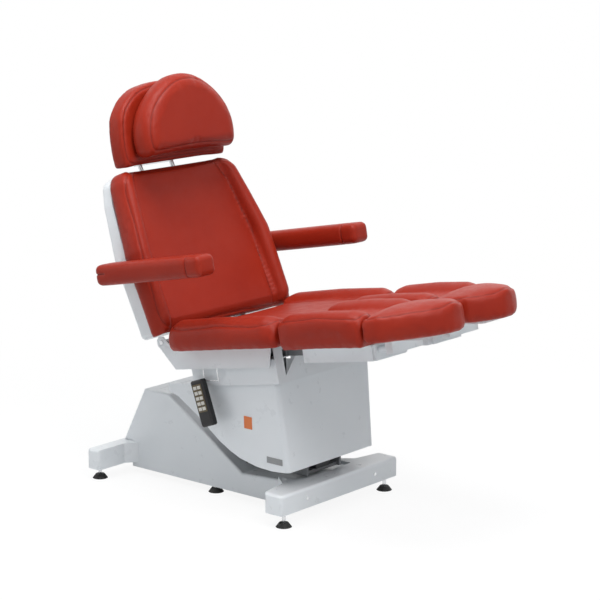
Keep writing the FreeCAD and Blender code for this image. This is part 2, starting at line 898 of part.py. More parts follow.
def base_housing():
    body = new_body("housing_form")
    shape = pad(body, sketch(body, "XZ_Plane", housing_outline("0 * housing_sheet")), "housing_width")
    half = size("housing_width") / 2
    low = size("plinth_front_height") - size("housing_edge_radius") * 3
    heel = size("housing_heel_inset") - size("housing_overhang") - HALF_SPACING

    def side_edge(edge):
        middle = edge.BoundBox.Center
        on_side = matches(abs(middle.y), half) and matches(edge.BoundBox.YLength, 0)
        return on_side and middle.z > low and middle.x > heel

    shape = round_edges(body, shape, "housing_edge_radius", side_edge)
    pocket(body, sketch(body, "XZ_Plane", housing_outline("housing_sheet")), "housing_width - 2 * housing_sheet")
    slot = [
        ("-slot_back", "-slot_half_width"), ("slot_front", "-slot_half_width"),
        ("slot_front", "slot_half_width"), ("-slot_back", "slot_half_width"),
    ]
    reach = "housing_crown_height + cut_overrun"
    pocket(body, sketch(body, "XY_Plane", slot, lift="housing_underside"), reach, False, True)
    groove = [
        ("-hatch_back", "-hatch_half_width"), ("-hatch_back + hatch_groove", "-hatch_half_width"),
        ("-hatch_back + hatch_groove", "hatch_half_width"), ("-hatch_back", "hatch_half_width"),
    ]
    line = sketch(body, "XY_Plane", groove, lift="housing_crown_height")
    pocket(body, line, "hatch_groove_depth", False)
    sub_part("base_housing", cut("base_housing", body, [power_inlet()]), BASE)


def cheek(name, side):
    outline = [
        ("-cheek_foot_back", "rail_bottom"), ("-cheek_foot_front", "rail_bottom"),
        ("-cheek_waist_front", "cheek_waist_height"), ("-cheek_crown_front", "cheek_crown_height"),
        ("-cheek_crown_back", "cheek_crown_height"), ("-cheek_waist_back", "cheek_waist_height"),
    ]
    bore = "arm_pin_radius + running_clearance"
    holes = [
        ("-rear_pivot_back", "upper_pivot_height", bore),
        ("lower_pivot_forward - rear_pivot_back", "upper_pivot_height - lower_pivot_drop", bore),
    ]
    return plate(
        name, "XZ_Plane", outline, "cheek_thickness", holes,
        lift=f"{-side} * (cheek_gap + cheek_thickness) / 2")


def base_chassis():
    wall = "housing_width / 2 - housing_sheet"
    top = "rail_bottom + rail_height"
    pieces = []
    for side in (-1, 1):
        low = f"{wall} - rail_width" if side > 0 else f"-({wall})"
        high = wall if side > 0 else f"-({wall}) + rail_width"
        rail = block(
            f"rail_{side + 1}", f"-{HEEL} + housing_sheet", f"{PLINTH} - housing_sheet",
            low, high, "rail_bottom", top)
        bore = rod(
            f"rail_bore_{side + 1}", "z", "foot_stud_radius + running_clearance", "rail_bottom - cut_overrun",
            "rail_bottom + foot_stud_engagement", ("-mid_foot_back", f"{side} * mid_foot_spacing / 2"))
        pieces.append(cut(f"bored_rail_{side + 1}", rail, [bore]))
        pieces.append(cheek(f"cheek_{side + 1}", side))
    for number, place in enumerate(("-rear_member_back", "-mid_member_back", "front_member_forward")):
        start = f"{place} - cross_member_depth / 2"
        end = f"{place} + cross_member_depth / 2"
        inner = f"{wall} - rail_width"
        pieces.append(block(f"member_{number}", start, end, f"-({inner})", inner, "rail_bottom", top))
    sub_part("base_chassis", weld("base_chassis", pieces), BASE)


def power_inlet():
    """A mains socket set in the rear slope; returns the window that it needs."""
    slope = "(inlet_centre_height - rear_bar_underside - rear_bar_height)"
    run = f"({OVERHANG} - housing_crown_back)"
    rise = "(housing_crown_height - rear_bar_underside - rear_bar_height)"
    face = f"-{OVERHANG} + {slope} * {run} / {rise} - inlet_rim"
    low = "inlet_centre_height - inlet_height / 2"
    high = "inlet_centre_height + inlet_height / 2"
    shell = block("inlet_shell", face, f"{face} + inlet_depth", "-inlet_half_width", "inlet_half_width", low, high)
    well = block(
        "inlet_well", f"{face} - cut_overrun", f"{face} + inlet_depth - inlet_wall",
        "inlet_wall - inlet_half_width", "inlet_half_width - inlet_wall",
        f"{low} + inlet_wall", f"{high} - inlet_wall")
    socket = cut("inlet_socket", shell, [well])
    pins = []
    for step in (-1, 0, 1):
        place = (f"{step} * inlet_half_width / 2", "inlet_centre_height")
        pins.append(rod(
            f"inlet_pin_{step + 1}", "x", "inlet_pin_radius", f"{face} + inlet_rim",
            f"{face} + inlet_depth - inlet_wall / 2", place))
    sub_part("power_inlet", weld("power_inlet", [socket] + pins), BASE)
    return block(
        "inlet_window", f"{face} - cut_overrun", f"{face} + inlet_depth", "-inlet_half_width",
        "inlet_half_width", low, high)


# Lift arms, each measured from its rear pivot

UPPER_ARM = FreeCAD.Placement(UPPER_PIVOT, turn_y(-RISE))
LOWER_ARM = FreeCAD.Placement(LOWER_PIVOT, turn_y(-RISE))


def arm_side(name, side, front_slack):
    """One flat side plate with a hub and a pin bore at each end."""
    inner = "arm_plate_spacing / 2 - arm_plate_thickness / 2"
    outer = "arm_plate_spacing / 2 + arm_plate_thickness / 2"
    low, high = (inner, outer) if side > 0 else (f"-({outer})", f"-({inner})")
    bar = block(f"{name}_bar", "0", "arm_length", low, high, "-arm_depth / 2", "arm_depth / 2")
    hubs = [
        rod(f"{name}_hub_{place}", "y", "arm_depth / 2", low, high, (place, "0"))
        for place in ("0", "arm_length")
    ]
    blank = weld(f"{name}_blank", [bar] + hubs)
    bores = [
        rod(f"{name}_bore_{place}", "y", f"arm_pin_radius + {slack}", f"{low} - cut_overrun",
            f"{high} + cut_overrun", (place, "0"))
        for place, slack in (("0", "running_clearance"), ("arm_length", front_slack))
    ]
    return cut(name, blank, bores)


def crank(name, length, turn, centre="0"):
    """A pair of lever plates hanging from a tube, with the drive pin across their ends."""
    plates = []
    for side in (-1, 1):
        near = f"{centre} + {side} * lever_gap / 2"
        far = f"{centre} + {side} * (lever_gap / 2 + lever_thickness)"
        low, high = (near, far) if side > 0 else (far, near)
        plates.append(block(
            f"{name}_plate_{side + 1}", "-lever_width / 2", "lever_width / 2", low, high,
            f"-({length})", "-arm_pin_radius - lever_thickness / 4"))
        plates.append(rod(
            f"{name}_end_{side + 1}", "y", "lever_width / 2", low, high, ("0", f"-({length})")))
    low = f"{centre} - lever_gap / 2 - lever_thickness"
    high = f"{centre} + lever_gap / 2 + lever_thickness"
    pin = rod(f"{name}_pin", "y", "yoke_pin_radius", low, high, ("0", f"-({length})"))
    item = weld(name, plates + [pin])
    item.Placement = FreeCAD.Placement(V(0, 0, 0), turn_y(turn))
    return item


def upper_lift_arm():
    sides = [arm_side(f"upper_side_{side + 1}", side, "running_clearance") for side in (-1, 1)]
    span = "arm_plate_spacing / 2 - arm_plate_thickness / 4"
    brace = rod("upper_brace", "y", "arm_tube_radius", f"-({span})", span, ("upper_tube_along", "0"))
    torque = rod("torque_tube", "y", "arm_hub_radius", f"-({span})", span, ("0", "0"))
    crankset = crank("lift_crank", "lever_length", size("lever_rest_angle"))
    blank = weld("upper_arm_blank", sides + [brace, torque, crankset])
    reach = "arm_plate_spacing / 2 + cut_overrun"
    bore = rod("torque_bore", "y", "arm_pin_radius + running_clearance", f"-({reach})", reach, ("0", "0"))
    sub_part("upper_lift_arm", cut("upper_lift_arm", blank, [bore]), UPPER_ARM)


def lower_lift_arm():
    sides = [arm_side(f"lower_side_{side + 1}", side, "open_pivot_slack") for side in (-1, 1)]
    span = "arm_plate_spacing / 2 - arm_plate_thickness / 4"
    brace = rod("lower_brace", "y", "arm_tube_radius", f"-({span})", span, ("lower_tube_along", "0"))
    sub_part("lower_lift_arm", weld("lower_lift_arm", sides + [brace]), LOWER_ARM)


def pivot_pins():
    """Pins fixed in the chassis and in the carriage; the arms turn on them."""
    outer = "cheek_gap / 2 + cheek_thickness + arm_pin_head"
    upper = rod(
        "rear_upper_pin", "y", "arm_pin_radius", f"-({outer})", outer,
        ("-rear_pivot_back", "upper_pivot_height"))
    place = ("lower_pivot_forward - rear_pivot_back", "upper_pivot_height - lower_pivot_drop")
    inner = "arm_plate_spacing / 2 - arm_plate_thickness / 2 - arm_pin_head"
    right = rod("rear_lower_pin_right", "y", "arm_pin_radius", f"-({outer})", f"-({inner})", place)
    left = rod("rear_lower_pin_left", "y", "arm_pin_radius", inner, outer, place)
    sub_part("rear_pivot_pins", group("rear_pivot_pins", [upper, right, left]), BASE)
    reach = "carriage_gap / 2 + carriage_plate_thickness + arm_pin_head"
    pins = [
        rod("front_upper_pin", "y", "arm_pin_radius", f"-({reach})", reach, ("0", "0")),
        rod("front_lower_pin", "y", "arm_pin_radius", f"-({reach})", reach,
            ("lower_pivot_forward", "-lower_pivot_drop")),
        rod("tilt_axle", "y", "axle_radius", "-axle_half_length", "axle_half_length",
            ("-axle_back_of_pivot", "axle_above_pivot")),
    ]
    sub_part("carriage_pins", group("carriage_pins", pins), CARRIAGE)


# Lift drive in the base

def yoke(name, long_axis, centre, across):
    """A plate with an open slot for a drive pin; centre is (x, z), across its middle in y."""
    slot_long = "yoke_pin_radius + yoke_slot_travel"
    slot_short = "yoke_pin_radius + yoke_slot_slack"
    plate_long = "yoke_height / 2"
    plate_short = "yoke_length / 2"
    halves = ((plate_long, plate_short), (slot_long, slot_short))
    solids = []
    for part_name, (far, near), thick in zip(("plate", "slot"), halves, ("0", "cut_overrun")):
        half_x, half_z = (far, near) if long_axis == "x" else (near, far)
        solids.append(block(
            f"{name}_{part_name}", f"{centre[0]} - ({half_x})", f"{centre[0]} + {half_x}",
            f"{across} - yoke_thickness / 2 - {thick}", f"{across} + yoke_thickness / 2 + {thick}",
            f"{centre[1]} - ({half_z})", f"{centre[1]} + {half_z}"))
    return cut(name, solids[0], [solids[1]])


def lift_drive():
    pin = "(-rear_pivot_back - lever_length * sin(lever_rest_angle - arm_rest_angle))"
    eye = yoke("lift_yoke", "z", (pin, "drive_height"), "0")
    shaft = rod(
        "lift_shaft", "x", "drive_rod_radius", "-drive_rod_back_end", "-drive_rod_front_end",
        ("0", "drive_height"))
    sub_part("lift_rod", weld("lift_rod", [eye, shaft]), BASE)
    tube = rod(
        "lift_tube", "x", "drive_tube_radius", "-drive_tube_back_end", "drive_tube_front_end",
        ("0", "drive_height"))
    motor = rod(
        "lift_motor", "z", "drive_motor_radius", "drive_motor_bottom", "drive_motor_top",
        ("drive_motor_forward", "0"))
    saddle = block(
        "lift_saddle", "-mid_member_back - drive_saddle_length / 2", "-mid_member_back + drive_saddle_length / 2",
        "-drive_saddle_width / 2", "drive_saddle_width / 2", "rail_bottom + rail_height", "drive_height")
    bore = rod(
        "lift_tube_bore", "x", "drive_rod_radius + running_clearance", "-drive_tube_back_end - cut_overrun",
        "drive_tube_front_end - drive_tube_end_wall", ("0", "drive_height"))
    blank = weld("lift_actuator_blank", [tube, motor, saddle])
    sub_part("lift_actuator", cut("lift_actuator", blank, [bore]), BASE)


# Carriage between the lift arms and the seat, measured from the upper front pivot

def carriage_plate(name, side):
    ear = "carriage_ear_radius"
    outline = [
        (f"-axle_back_of_pivot - {ear}", f"axle_above_pivot - {ear} / 2"),
        (f"-axle_back_of_pivot - {ear}", f"axle_above_pivot + {ear} / 2"),
        (f"-axle_back_of_pivot - {ear} / 2", f"axle_above_pivot + {ear}"),
        (f"-axle_back_of_pivot + {ear}", f"axle_above_pivot + {ear}"),
        ("carriage_tie_forward * 2", "carriage_top"),
        ("carriage_front", "carriage_shoulder"),
        ("carriage_front", "-carriage_toe_drop"),
        ("-carriage_heel_back", "-carriage_heel_drop"),
        (f"-{ear}", f"-{ear}"),
        (f"-{ear}", f"{ear}"),
    ]
    bore = "arm_pin_radius + running_clearance"
    holes = [
        ("0", "0", bore),
        ("lower_pivot_forward", "-lower_pivot_drop", bore),
        ("-axle_back_of_pivot", "axle_above_pivot", "axle_radius + running_clearance"),
    ]
    return plate(
        name, "XZ_Plane", outline, "carriage_plate_thickness", holes,
        lift=f"{-side} * (carriage_gap + carriage_plate_thickness) / 2")


def carriage_frame():
    span = "carriage_gap / 2 + carriage_plate_thickness / 2"
    tie_place = ("carriage_tie_forward", "carriage_tie_above")
    pieces = [carriage_plate(f"carriage_plate_{side + 1}", side) for side in (-1, 1)]
    pieces.append(rod("carriage_tie", "y", "carriage_tie_radius", f"-({span})", span, tie_place))
    pieces.append(block(
        "carriage_sill", "tilt_drive_forward - carriage_sill_depth / 2",
        "tilt_drive_forward + carriage_sill_depth / 2", f"-({span})", span,
        "-carriage_toe_drop", "carriage_sill_height - carriage_toe_drop"))
    sub_part("carriage_frame", weld("carriage_frame", pieces), CARRIAGE)


def tilt_drive():
    pin_height = "axle_above_pivot + tilt_lever_rise"
    eye = yoke("tilt_yoke", "x", ("tilt_drive_forward", f"({pin_height})"), "0")
    shaft = rod(
        "tilt_shaft", "z", "tilt_rod_radius", "-tilt_rod_tail", f"{pin_height} - yoke_length / 3",
        ("tilt_drive_forward", "0"))
    sub_part("tilt_rod", weld("tilt_rod", [eye, shaft]), CARRIAGE)
    sill_top = "carriage_sill_height - carriage_toe_drop"
    motor = block(
        "tilt_motor", "tilt_drive_forward - tilt_motor_half_width", "tilt_drive_forward + tilt_motor_half_width",
        "-tilt_motor_half_width", "tilt_motor_half_width", sill_top, f"{sill_top} + tilt_motor_height")
    tube = rod(
        "tilt_tube", "z", "tilt_tube_radius", sill_top, "tilt_tube_top", ("tilt_drive_forward", "0"))
    bore = rod(
        "tilt_tube_bore", "z", "tilt_rod_radius + running_clearance", "-tilt_bore_depth",
        "tilt_tube_top + cut_overrun", ("tilt_drive_forward", "0"))
    sub_part("tilt_actuator", cut("tilt_actuator", weld("tilt_actuator_blank", [motor, tube]), [bore]), CARRIAGE)


# Shroud over the carriage, with its two blank plates

def shroud_wedge(name, inset):
    """The tapered outer form, or with an inset the hollow inside it, open at the rear."""
    item = DOC.addObject("Part::Wedge", name)
    rear = f"-shroud_back - cut_overrun * ({inset}) / shroud_sheet"
    spans = (
        ("Ymin", "-shroud_bottom_drop - shroud_trim_spare"), ("Ymax", "shroud_top_rise + shroud_trim_spare"),
        ("Xmin", rear), ("Xmax", f"shroud_front_low - {inset}"),
        ("X2min", rear), ("X2max", f"shroud_front_high - {inset}"),
        ("Zmin", f"-shroud_half_low + {inset}"), ("Zmax", f"shroud_half_low - {inset}"),
        ("Z2min", f"-shroud_half_high + {inset}"), ("Z2max", f"shroud_half_high - {inset}"),
    )
    for path, text in spans:
        tie(item, path, text)
    item.Placement = FreeCAD.Placement(V(0, 0, 0), FreeCAD.Rotation(V(1, 0, 0), size("quarter_turn")))
    return item


def shroud_corners(form, radius):
    """The form with its two front corner edges rounded."""
    DOC.recompute()
    tall = size("shroud_top_rise")
    picked = [
        (number, radius, radius) for number, edge in enumerate(form.Shape.Edges, start=1)
        if edge.BoundBox.ZLength > tall and edge.BoundBox.Center.x > 0
    ]
    item = DOC.addObject("Part::Fillet", form.Name + "_rounded")
    item.Base = form
    item.Edges = picked
    return item


def shroud():
    outer = shroud_corners(shroud_wedge("shroud_form", "0 * shroud_sheet"), size("shroud_corner_radius"))
    inner = shroud_corners(
        shroud_wedge("shroud_hollow", "shroud_sheet"), size("shroud_corner_radius") - size("shroud_sheet"))
    beyond = "shroud_front_bottom + cut_overrun * 2"
    below = "-shroud_bottom_drop - cut_overrun * 3"
    under = [
        ("-shroud_back - cut_overrun", below), ("-shroud_back - cut_overrun", "shroud_back_rise"),
        ("-shroud_back", "shroud_back_rise"), ("-shroud_knee_back", "shroud_knee_rise"),
        ("-shroud_hip_back", "shroud_hip_rise"), ("-shroud_thigh_back", "-shroud_thigh_drop"),
        ("-shroud_shin_back", "-shroud_shin_drop"), ("-shroud_ankle_back", "-shroud_ankle_drop"),
        ("shroud_sole_forward", "-shroud_sole_drop"), ("shroud_toe_forward", "-shroud_toe_drop"),
        ("shroud_front_bottom", "-shroud_bottom_drop"),
        (beyond, "-shroud_bottom_drop"), (beyond, below),
    ]
    above = "shroud_top_rise + cut_overrun * 3"
    over = [
        ("-shroud_back - cut_overrun", "shroud_back_top_rise"), ("-shroud_back", "shroud_back_top_rise"),
        ("shroud_front_top", "shroud_top_rise"), (beyond, "shroud_top_rise"), (beyond, above),
        ("-shroud_back - cut_overrun", above),
    ]
    width = "shroud_half_high * 2 + cut_overrun"
    trims = [plate(f"shroud_trim_{name}", "XZ_Plane", outline, width) for name, outline in (
        ("under", under), ("over", over))]
    sheet = cut("shroud_shell", outer, [inner] + trims)
    stays = []
    near = "carriage_gap / 2 + carriage_plate_thickness"
    for name in ("one", "two"):
        forward = f"stay_{name}_forward"
        rise = f"stay_{name}_rise"
        wall = f"shroud_bottom_half + ({rise} + shroud_bottom_drop) * shroud_slope - shroud_sheet / 2"
        for side in (-1, 1):
            low, high = (near, wall) if side > 0 else (f"-({wall})", f"-({near})")
            stays.append(rod(
                f"shroud_stay_{name}_{side + 1}", "y", "shroud_stay_radius", low, high, (forward, rise)))
    sub_part("shroud", weld("shroud", [sheet] + stays), CARRIAGE)


def blank_plates():
    """Two plain plates on the right side of the shroud."""
    lean = math.degrees(math.atan(size("shroud_slope")))
    turn = FreeCAD.Rotation(V(1, 0, 0), lean)
    specs = (
        ("data_plate", "data_plate_width", "data_plate_height", "data_plate_forward", "-data_plate_drop"),
        ("colour_patch", "patch_width", "patch_height", "-patch_back", "patch_rise"),
    )
    for name, width, height, forward, rise in specs:
        piece = block(
            name + "_stock", "0 * plate_thickness", width, "-plate_thickness", "0 * plate_thickness",
            f"-{height} / 2", f"{height} / 2")
        holder = group(name + "_sheet", [piece])
        along = piece_number(forward)
        level = piece_number(rise)
        wall = size("shroud_bottom_half") + (level + size("shroud_bottom_drop")) * size("shroud_slope")
        wall += size("plate_seat_gap")
        local = FreeCAD.Placement(V(along - size(width) / 2, -wall, level), turn)
        sub_part(name, holder, CARRIAGE * local)


def piece_number(text):
    """The value of a size name that may carry a minus sign."""
    return -size(text[1:]) if text.startswith("-") else size(text)


# Seat frame, measured from the backrest hinge along the seat

RAIL_TOP = "-(seat_cushion_bottom + soft_clearance + seat_pan_thickness)"
RAIL_END = "(seat_member_two + seat_rail_tail)"
SKIRT_END = f"({RAIL_END} + skirt_nose)"
SKIRT_FOOT = f"({SKIRT_END} + skirt_rake)"
LEG_ALONG = f"({RAIL_END} + leg_hinge_reach)"
RAIL_FOOT = f"{RAIL_TOP} - seat_rail_height"


def hanger(name, side):
    """A plate from a cross member down to the tilt axle."""
    foot = "hanger_foot_radius"
    top = "-seat_rail_height * 3 / 4"
    outline = [
        ("axle_along_seat - hanger_plate_length / 2", top),
        (f"axle_along_seat - {foot}", f"-axle_below_hinge - {foot} / 2"),
        (f"axle_along_seat - {foot} / 2", f"-axle_below_hinge - {foot}"),
        (f"axle_along_seat + {foot} / 2", f"-axle_below_hinge - {foot}"),
        (f"axle_along_seat + {foot}", f"-axle_below_hinge - {foot} / 2"),
        ("axle_along_seat + hanger_plate_length / 2", top),
    ]
    holes = [("axle_along_seat", "-axle_below_hinge", "axle_radius + running_clearance")]
    return plate(
        name, "XZ_Plane", outline, "hanger_plate_thickness", holes,
        lift=f"{-side} * (hanger_plate_gap + hanger_plate_thickness) / 2")


def hinge_ear(name, side):
    """A plate at the end of a seat rail that carries the backrest hinge pin."""
    ear = "hinge_ear_radius"
    outline = [
        (f"-{ear}", f"-{ear} / 2"), (f"-{ear}", f"{ear} / 2"), (f"-{ear} / 2", ear), (f"{ear} / 2", ear),
        ("seat_rail_start + hinge_ear_radius * 2", RAIL_TOP), ("seat_rail_start + hinge_ear_radius * 2", RAIL_FOOT),
        ("seat_rail_start", RAIL_FOOT), (f"-{ear} / 2", f"-{ear}"),
    ]
    holes = [("0", "0", "hinge_pin_radius + running_clearance")]
    return plate(name, "XZ_Plane", outline, "hinge_ear_thickness", holes, lift=f"{-side} * seat_rail_half")


def leg_ear(name, side):
    """A plate reaching out of the front window to a leg rest hinge."""
    ear = "leg_ear_radius"
    start = f"{RAIL_END} - seat_header_width"
    low = f"-leg_hinge_below - {ear}"
    high = f"-leg_hinge_below + {ear}"
    outline = [
        (start, low), (f"{LEG_ALONG} + {ear} / 2", low), (f"{LEG_ALONG} + {ear}", f"{low} + {ear} / 2"),
        (f"{LEG_ALONG} + {ear}", f"{high} - {ear} / 2"), (f"{LEG_ALONG} + {ear} / 2", high), (start, high),
    ]
    holes = [(LEG_ALONG, "-leg_hinge_below", "leg_pin_radius + running_clearance")]
    return plate(name, "XZ_Plane", outline, "hinge_ear_thickness", holes, lift=f"{-side} * leg_ear_half")


def tilt_lug_pieces():
    """Two lugs and the pin that the tilt rod pushes, below the second cross member."""
    along = "(axle_along_seat + tilt_lever_length * cos(seat_pitch) + tilt_lever_rise * sin(seat_pitch))"
    below = "(axle_below_hinge + tilt_lever_length * sin(seat_pitch) - tilt_lever_rise * cos(seat_pitch))"
    pieces = []
    for side in (-1, 1):
        near = "tilt_lug_gap / 2"
        far = "(tilt_lug_gap / 2 + tilt_lug_thickness)"
        low, high = (near, far) if side > 0 else (f"-{far}", f"-{near}")
        half = "tilt_lug_width / 2"
        pieces.append(block(
            f"tilt_lug_{side + 1}", f"{along} - {half}", f"{along} + {half}", low, high, f"-{below}",
            "-seat_rail_height * 3 / 4"))
        pieces.append(rod(f"tilt_lug_end_{side + 1}", "y", half, low, high, (along, f"-{below}")))
    reach = "tilt_lug_gap / 2 + tilt_lug_thickness"
    pieces.append(rod("tilt_pin", "y", "yoke_pin_radius", f"-({reach})", reach, (along, f"-{below}")))
    return pieces


def seat_frame():
    inner = "seat_rail_half - seat_rail_width / 2"
    outer = "seat_rail_half + seat_rail_width / 2"
    pieces = tilt_lug_pieces()
    for side in (-1, 1):
        low, high = (inner, outer) if side > 0 else (f"-({outer})", f"-({inner})")
        pieces.append(block(
            f"seat_rail_{side + 1}", "seat_rail_start", RAIL_END, low, high, RAIL_FOOT, RAIL_TOP))
        pieces.append(hanger(f"hanger_{side + 1}", side))
        pieces.append(hinge_ear(f"hinge_ear_{side + 1}", side))
        pieces.append(leg_ear(f"leg_ear_{side + 1}", side))
        for number, along in enumerate(("seat_member_one", "seat_member_two")):
            near = "seat_rail_half"
            far = "side_panel_half - side_panel_thickness"
            start, end = (near, far) if side > 0 else (f"-({far})", f"-{near}")
            height = f"{RAIL_TOP} - seat_member_height"
            pieces.append(rod(
                f"panel_stay_{side + 1}_{number}", "y", "panel_stay_radius", start, end, (along, height)))
    span = "seat_rail_half"
    for number, along in enumerate(("seat_member_one", "seat_member_two")):
        pieces.append(block(
            f"seat_member_{number}", f"{along} - seat_member_width / 2", f"{along} + seat_member_width / 2",
            f"-{span}", span, f"{RAIL_TOP} - seat_member_height", RAIL_TOP))
    pieces.append(block(
        "seat_header", f"{RAIL_END} - seat_header_width", RAIL_END, f"-{span}", span, RAIL_FOOT, RAIL_TOP))
    pan = "-(seat_cushion_bottom + soft_clearance)"
    pan_half = "skirt_half"
    pieces.append(block(
        "seat_pan", "seat_cushion_start + seat_pan_margin", f"{LEG_ALONG} - seat_leg_gap - seat_pan_margin",
        f"-{pan_half}", pan_half, f"{pan} - seat_pan_thickness", pan))
    sub_part("seat_frame", weld("seat_frame", pieces), SEAT)


def side_panels():
    panels = []
    for side in (-1, 1):
        ear = "side_ear_radius"
        outline = [
            (f"-{ear}", f"-{ear} / 2"), (f"-{ear}", f"{ear} / 2"), (f"-{ear} / 2", ear), (f"{ear} / 2", ear),
            ("side_panel_start", "-side_panel_top"), ("side_panel_end", "-side_panel_top"),
            ("side_panel_foot_end", "-side_panel_bottom"), ("side_panel_start", "-side_panel_bottom"),
            (f"-{ear} / 2", f"-{ear}"),
        ]
        holes = [("0", "0", "hinge_pin_radius + running_clearance")]
        panels.append(plate(
            f"side_panel_{side + 1}", "XZ_Plane", outline, "side_panel_thickness", holes,
            lift=f"{-side} * (side_panel_half - side_panel_thickness / 2)"))
    sub_part("seat_side_panels", group("seat_side_panels", panels), SEAT)


def skirt_front():
    """The folded front wall with its two windows."""
    body = new_body("skirt_front")
    half = "skirt_half"
    outline = [
        (SKIRT_END, "-skirt_front_top"), (SKIRT_FOOT, "-skirt_bottom"),
        (f"{SKIRT_FOOT} - skirt_sheet", "-skirt_bottom"), (f"{SKIRT_END} - skirt_sheet", "-skirt_front_top"),
    ]
    pad(body, sketch(body, "XZ_Plane", outline), f"2 * {half}")
    for side in (-1, 1):
        window = [
            (f"{side} * front_window_inner", "-front_window_high"),
            (f"{side} * front_window_outer", "-front_window_high"),
            (f"{side} * front_window_outer", "-front_window_low"),
        ]
        if side < 0:
            window.reverse()
        profile = sketch(body, "YZ_Plane", window, lift=f"{SKIRT_END} - cut_overrun")
        pocket(body, profile, "cut_overrun * 2", False, True)
    return body


def seat_skirt():
    pieces = [skirt_front()]
    flange_top = f"({RAIL_FOOT})"
    for side in (-1, 1):
        wall = [
            ("skirt_start_foot", "-skirt_bottom"), (f"{SKIRT_FOOT} - skirt_sheet / 2", "-skirt_bottom"),
            (f"{SKIRT_END} - skirt_sheet / 2", flange_top), ("skirt_start", flange_top),
        ]
        pieces.append(plate(
            f"skirt_wall_{side + 1}", "XZ_Plane", wall, "skirt_sheet",
            lift=f"{-side} * (skirt_half - skirt_sheet / 2)"))
        inner = "skirt_flange_inner"
        outer = "skirt_half"
        low, high = (inner, outer) if side > 0 else (f"-{outer}", f"-{inner}")
        pieces.append(block(
            f"skirt_flange_{side + 1}", "skirt_start", f"{SKIRT_END} - skirt_sheet / 2", low, high,
            f"{flange_top} - skirt_sheet", flange_top))
    sub_part("seat_skirt", weld("seat_skirt", pieces), SEAT)


def hinge_pins():
    """Backrest and leg rest hinge pins, fixed in the seat frame."""
    pins = []
    for side in (-1, 1):
        near = "back_tube_half - hinge_pin_engagement"
        far = "side_panel_half + arm_pin_head"
        low, high = (near, far) if side > 0 else (f"-({far})", f"-({near})")
        pins.append(rod(f"back_hinge_pin_{side + 1}", "y", "hinge_pin_radius", low, high, ("0", "0")))
        centre = f"{side} * leg_ear_half"
        reach = "leg_pin_half_length"
        pins.append(rod(
            f"leg_hinge_pin_{side + 1}", "y", "leg_pin_radius", f"{centre} - {reach}", f"{centre} + {reach}",
            (LEG_ALONG, "-leg_hinge_below")))
    sub_part("seat_hinge_pins", group("seat_hinge_pins", pins), SEAT)


def back_drive():
    pin = "(-back_lever_length * sin(back_lever_rest_angle))"
    level = "(-back_drive_below)"
    across = "back_drive_side"
    eye = yoke("back_yoke", "z", (pin, level), across)
    tail = "back_drive_tube_start + back_drive_rod_tail"
    shaft = rod(
        "back_shaft", "x", "back_drive_rod_radius", f"{pin} + yoke_length / 3", tail, (across, level))
    sub_part("back_rod", weld("back_rod", [eye, shaft]), SEAT)
    tube = rod(
        "back_tube", "x", "back_drive_tube_radius", "back_drive_tube_start", "back_drive_tube_end", (across, level))
    motor = block(
        "back_motor", "back_drive_tube_end", "back_drive_tube_end + back_motor_length",
        f"{across} - back_motor_half_width", f"{across} + back_motor_half_width", "-back_motor_bottom",
        "-back_motor_top")
    clamp = block(
        "back_clamp", "seat_member_one - back_clamp_length / 2", "seat_member_one + back_clamp_length / 2",
        f"{across} - back_clamp_length / 2", f"{across} + back_clamp_length / 2", level,
        f"{RAIL_TOP} - seat_member_height")
    bore = rod(
        "back_tube_bore", "x", "back_drive_rod_radius + running_clearance", "back_drive_tube_start - cut_overrun",
        "back_drive_tube_end - back_tube_end_wall", (across, level))
    blank = weld("back_actuator_blank", [tube, motor, clamp])
    sub_part("back_actuator", cut("back_actuator", blank, [bore]), SEAT)


# Cushions: smooth skins drawn through sections of lines and arcs

def arc(start, through, end):
    return Part.Arc(start, through, end).toShape()


def roll_section(along, half, bottom, edge, crest, trough, roll, bulge):
    """One closed section: flat base, bulging sides, a roll on each side and a dished middle."""
    def at(across, up):
        return V(along, across, up)
    middle = (bottom + edge) / 2
    low = half - bulge
    inner = half - roll
    ridge = half - roll / 2
    edges = [
        Part.LineSegment(at(-low, bottom), at(low, bottom)).toShape(),
        arc(at(low, bottom), at(half, middle), at(low, edge)),
        arc(at(low, edge), at(ridge, crest), at(inner, trough)),
        arc(at(inner, trough), at(0, trough - bulge / 2), at(-inner, trough)),
        arc(at(-inner, trough), at(-ridge, crest), at(-low, edge)),
        arc(at(-low, edge), at(-half, middle), at(-low, bottom)),
    ]
    return Part.Wire(edges)


def soft_body(label, sections, frame):
    item = DOC.addObject("Part::Feature", label)
    item.Shape = Part.makeLoft(sections, True, True)
    return sub_part(label, item, frame)


def seat_cushion():
    start = size("seat_cushion_start")
    end = LEG_REACH - size("seat_leg_gap")
    bottom = -size("seat_cushion_bottom")
    draw = size("cushion_end_draw")
    crest = size("seat_cushion_crest")
    edge = size("seat_cushion_edge")
    stations = (
        (start, draw), (start + size("cushion_end_run"), draw / 4), ((start + end) / 2, 0),
        (end - size("cushion_end_run"), draw / 4), (end, draw),
    )
    sections = [
        roll_section(
            along, size("seat_cushion_half") - drawn, bottom, edge - drawn, crest - drawn,
            size("seat_cushion_trough") - drawn, size("seat_roll_width"), size("cushion_bulge"))
        for along, drawn in stations
    ]
    soft_body("seat_cushion", sections, SEAT)


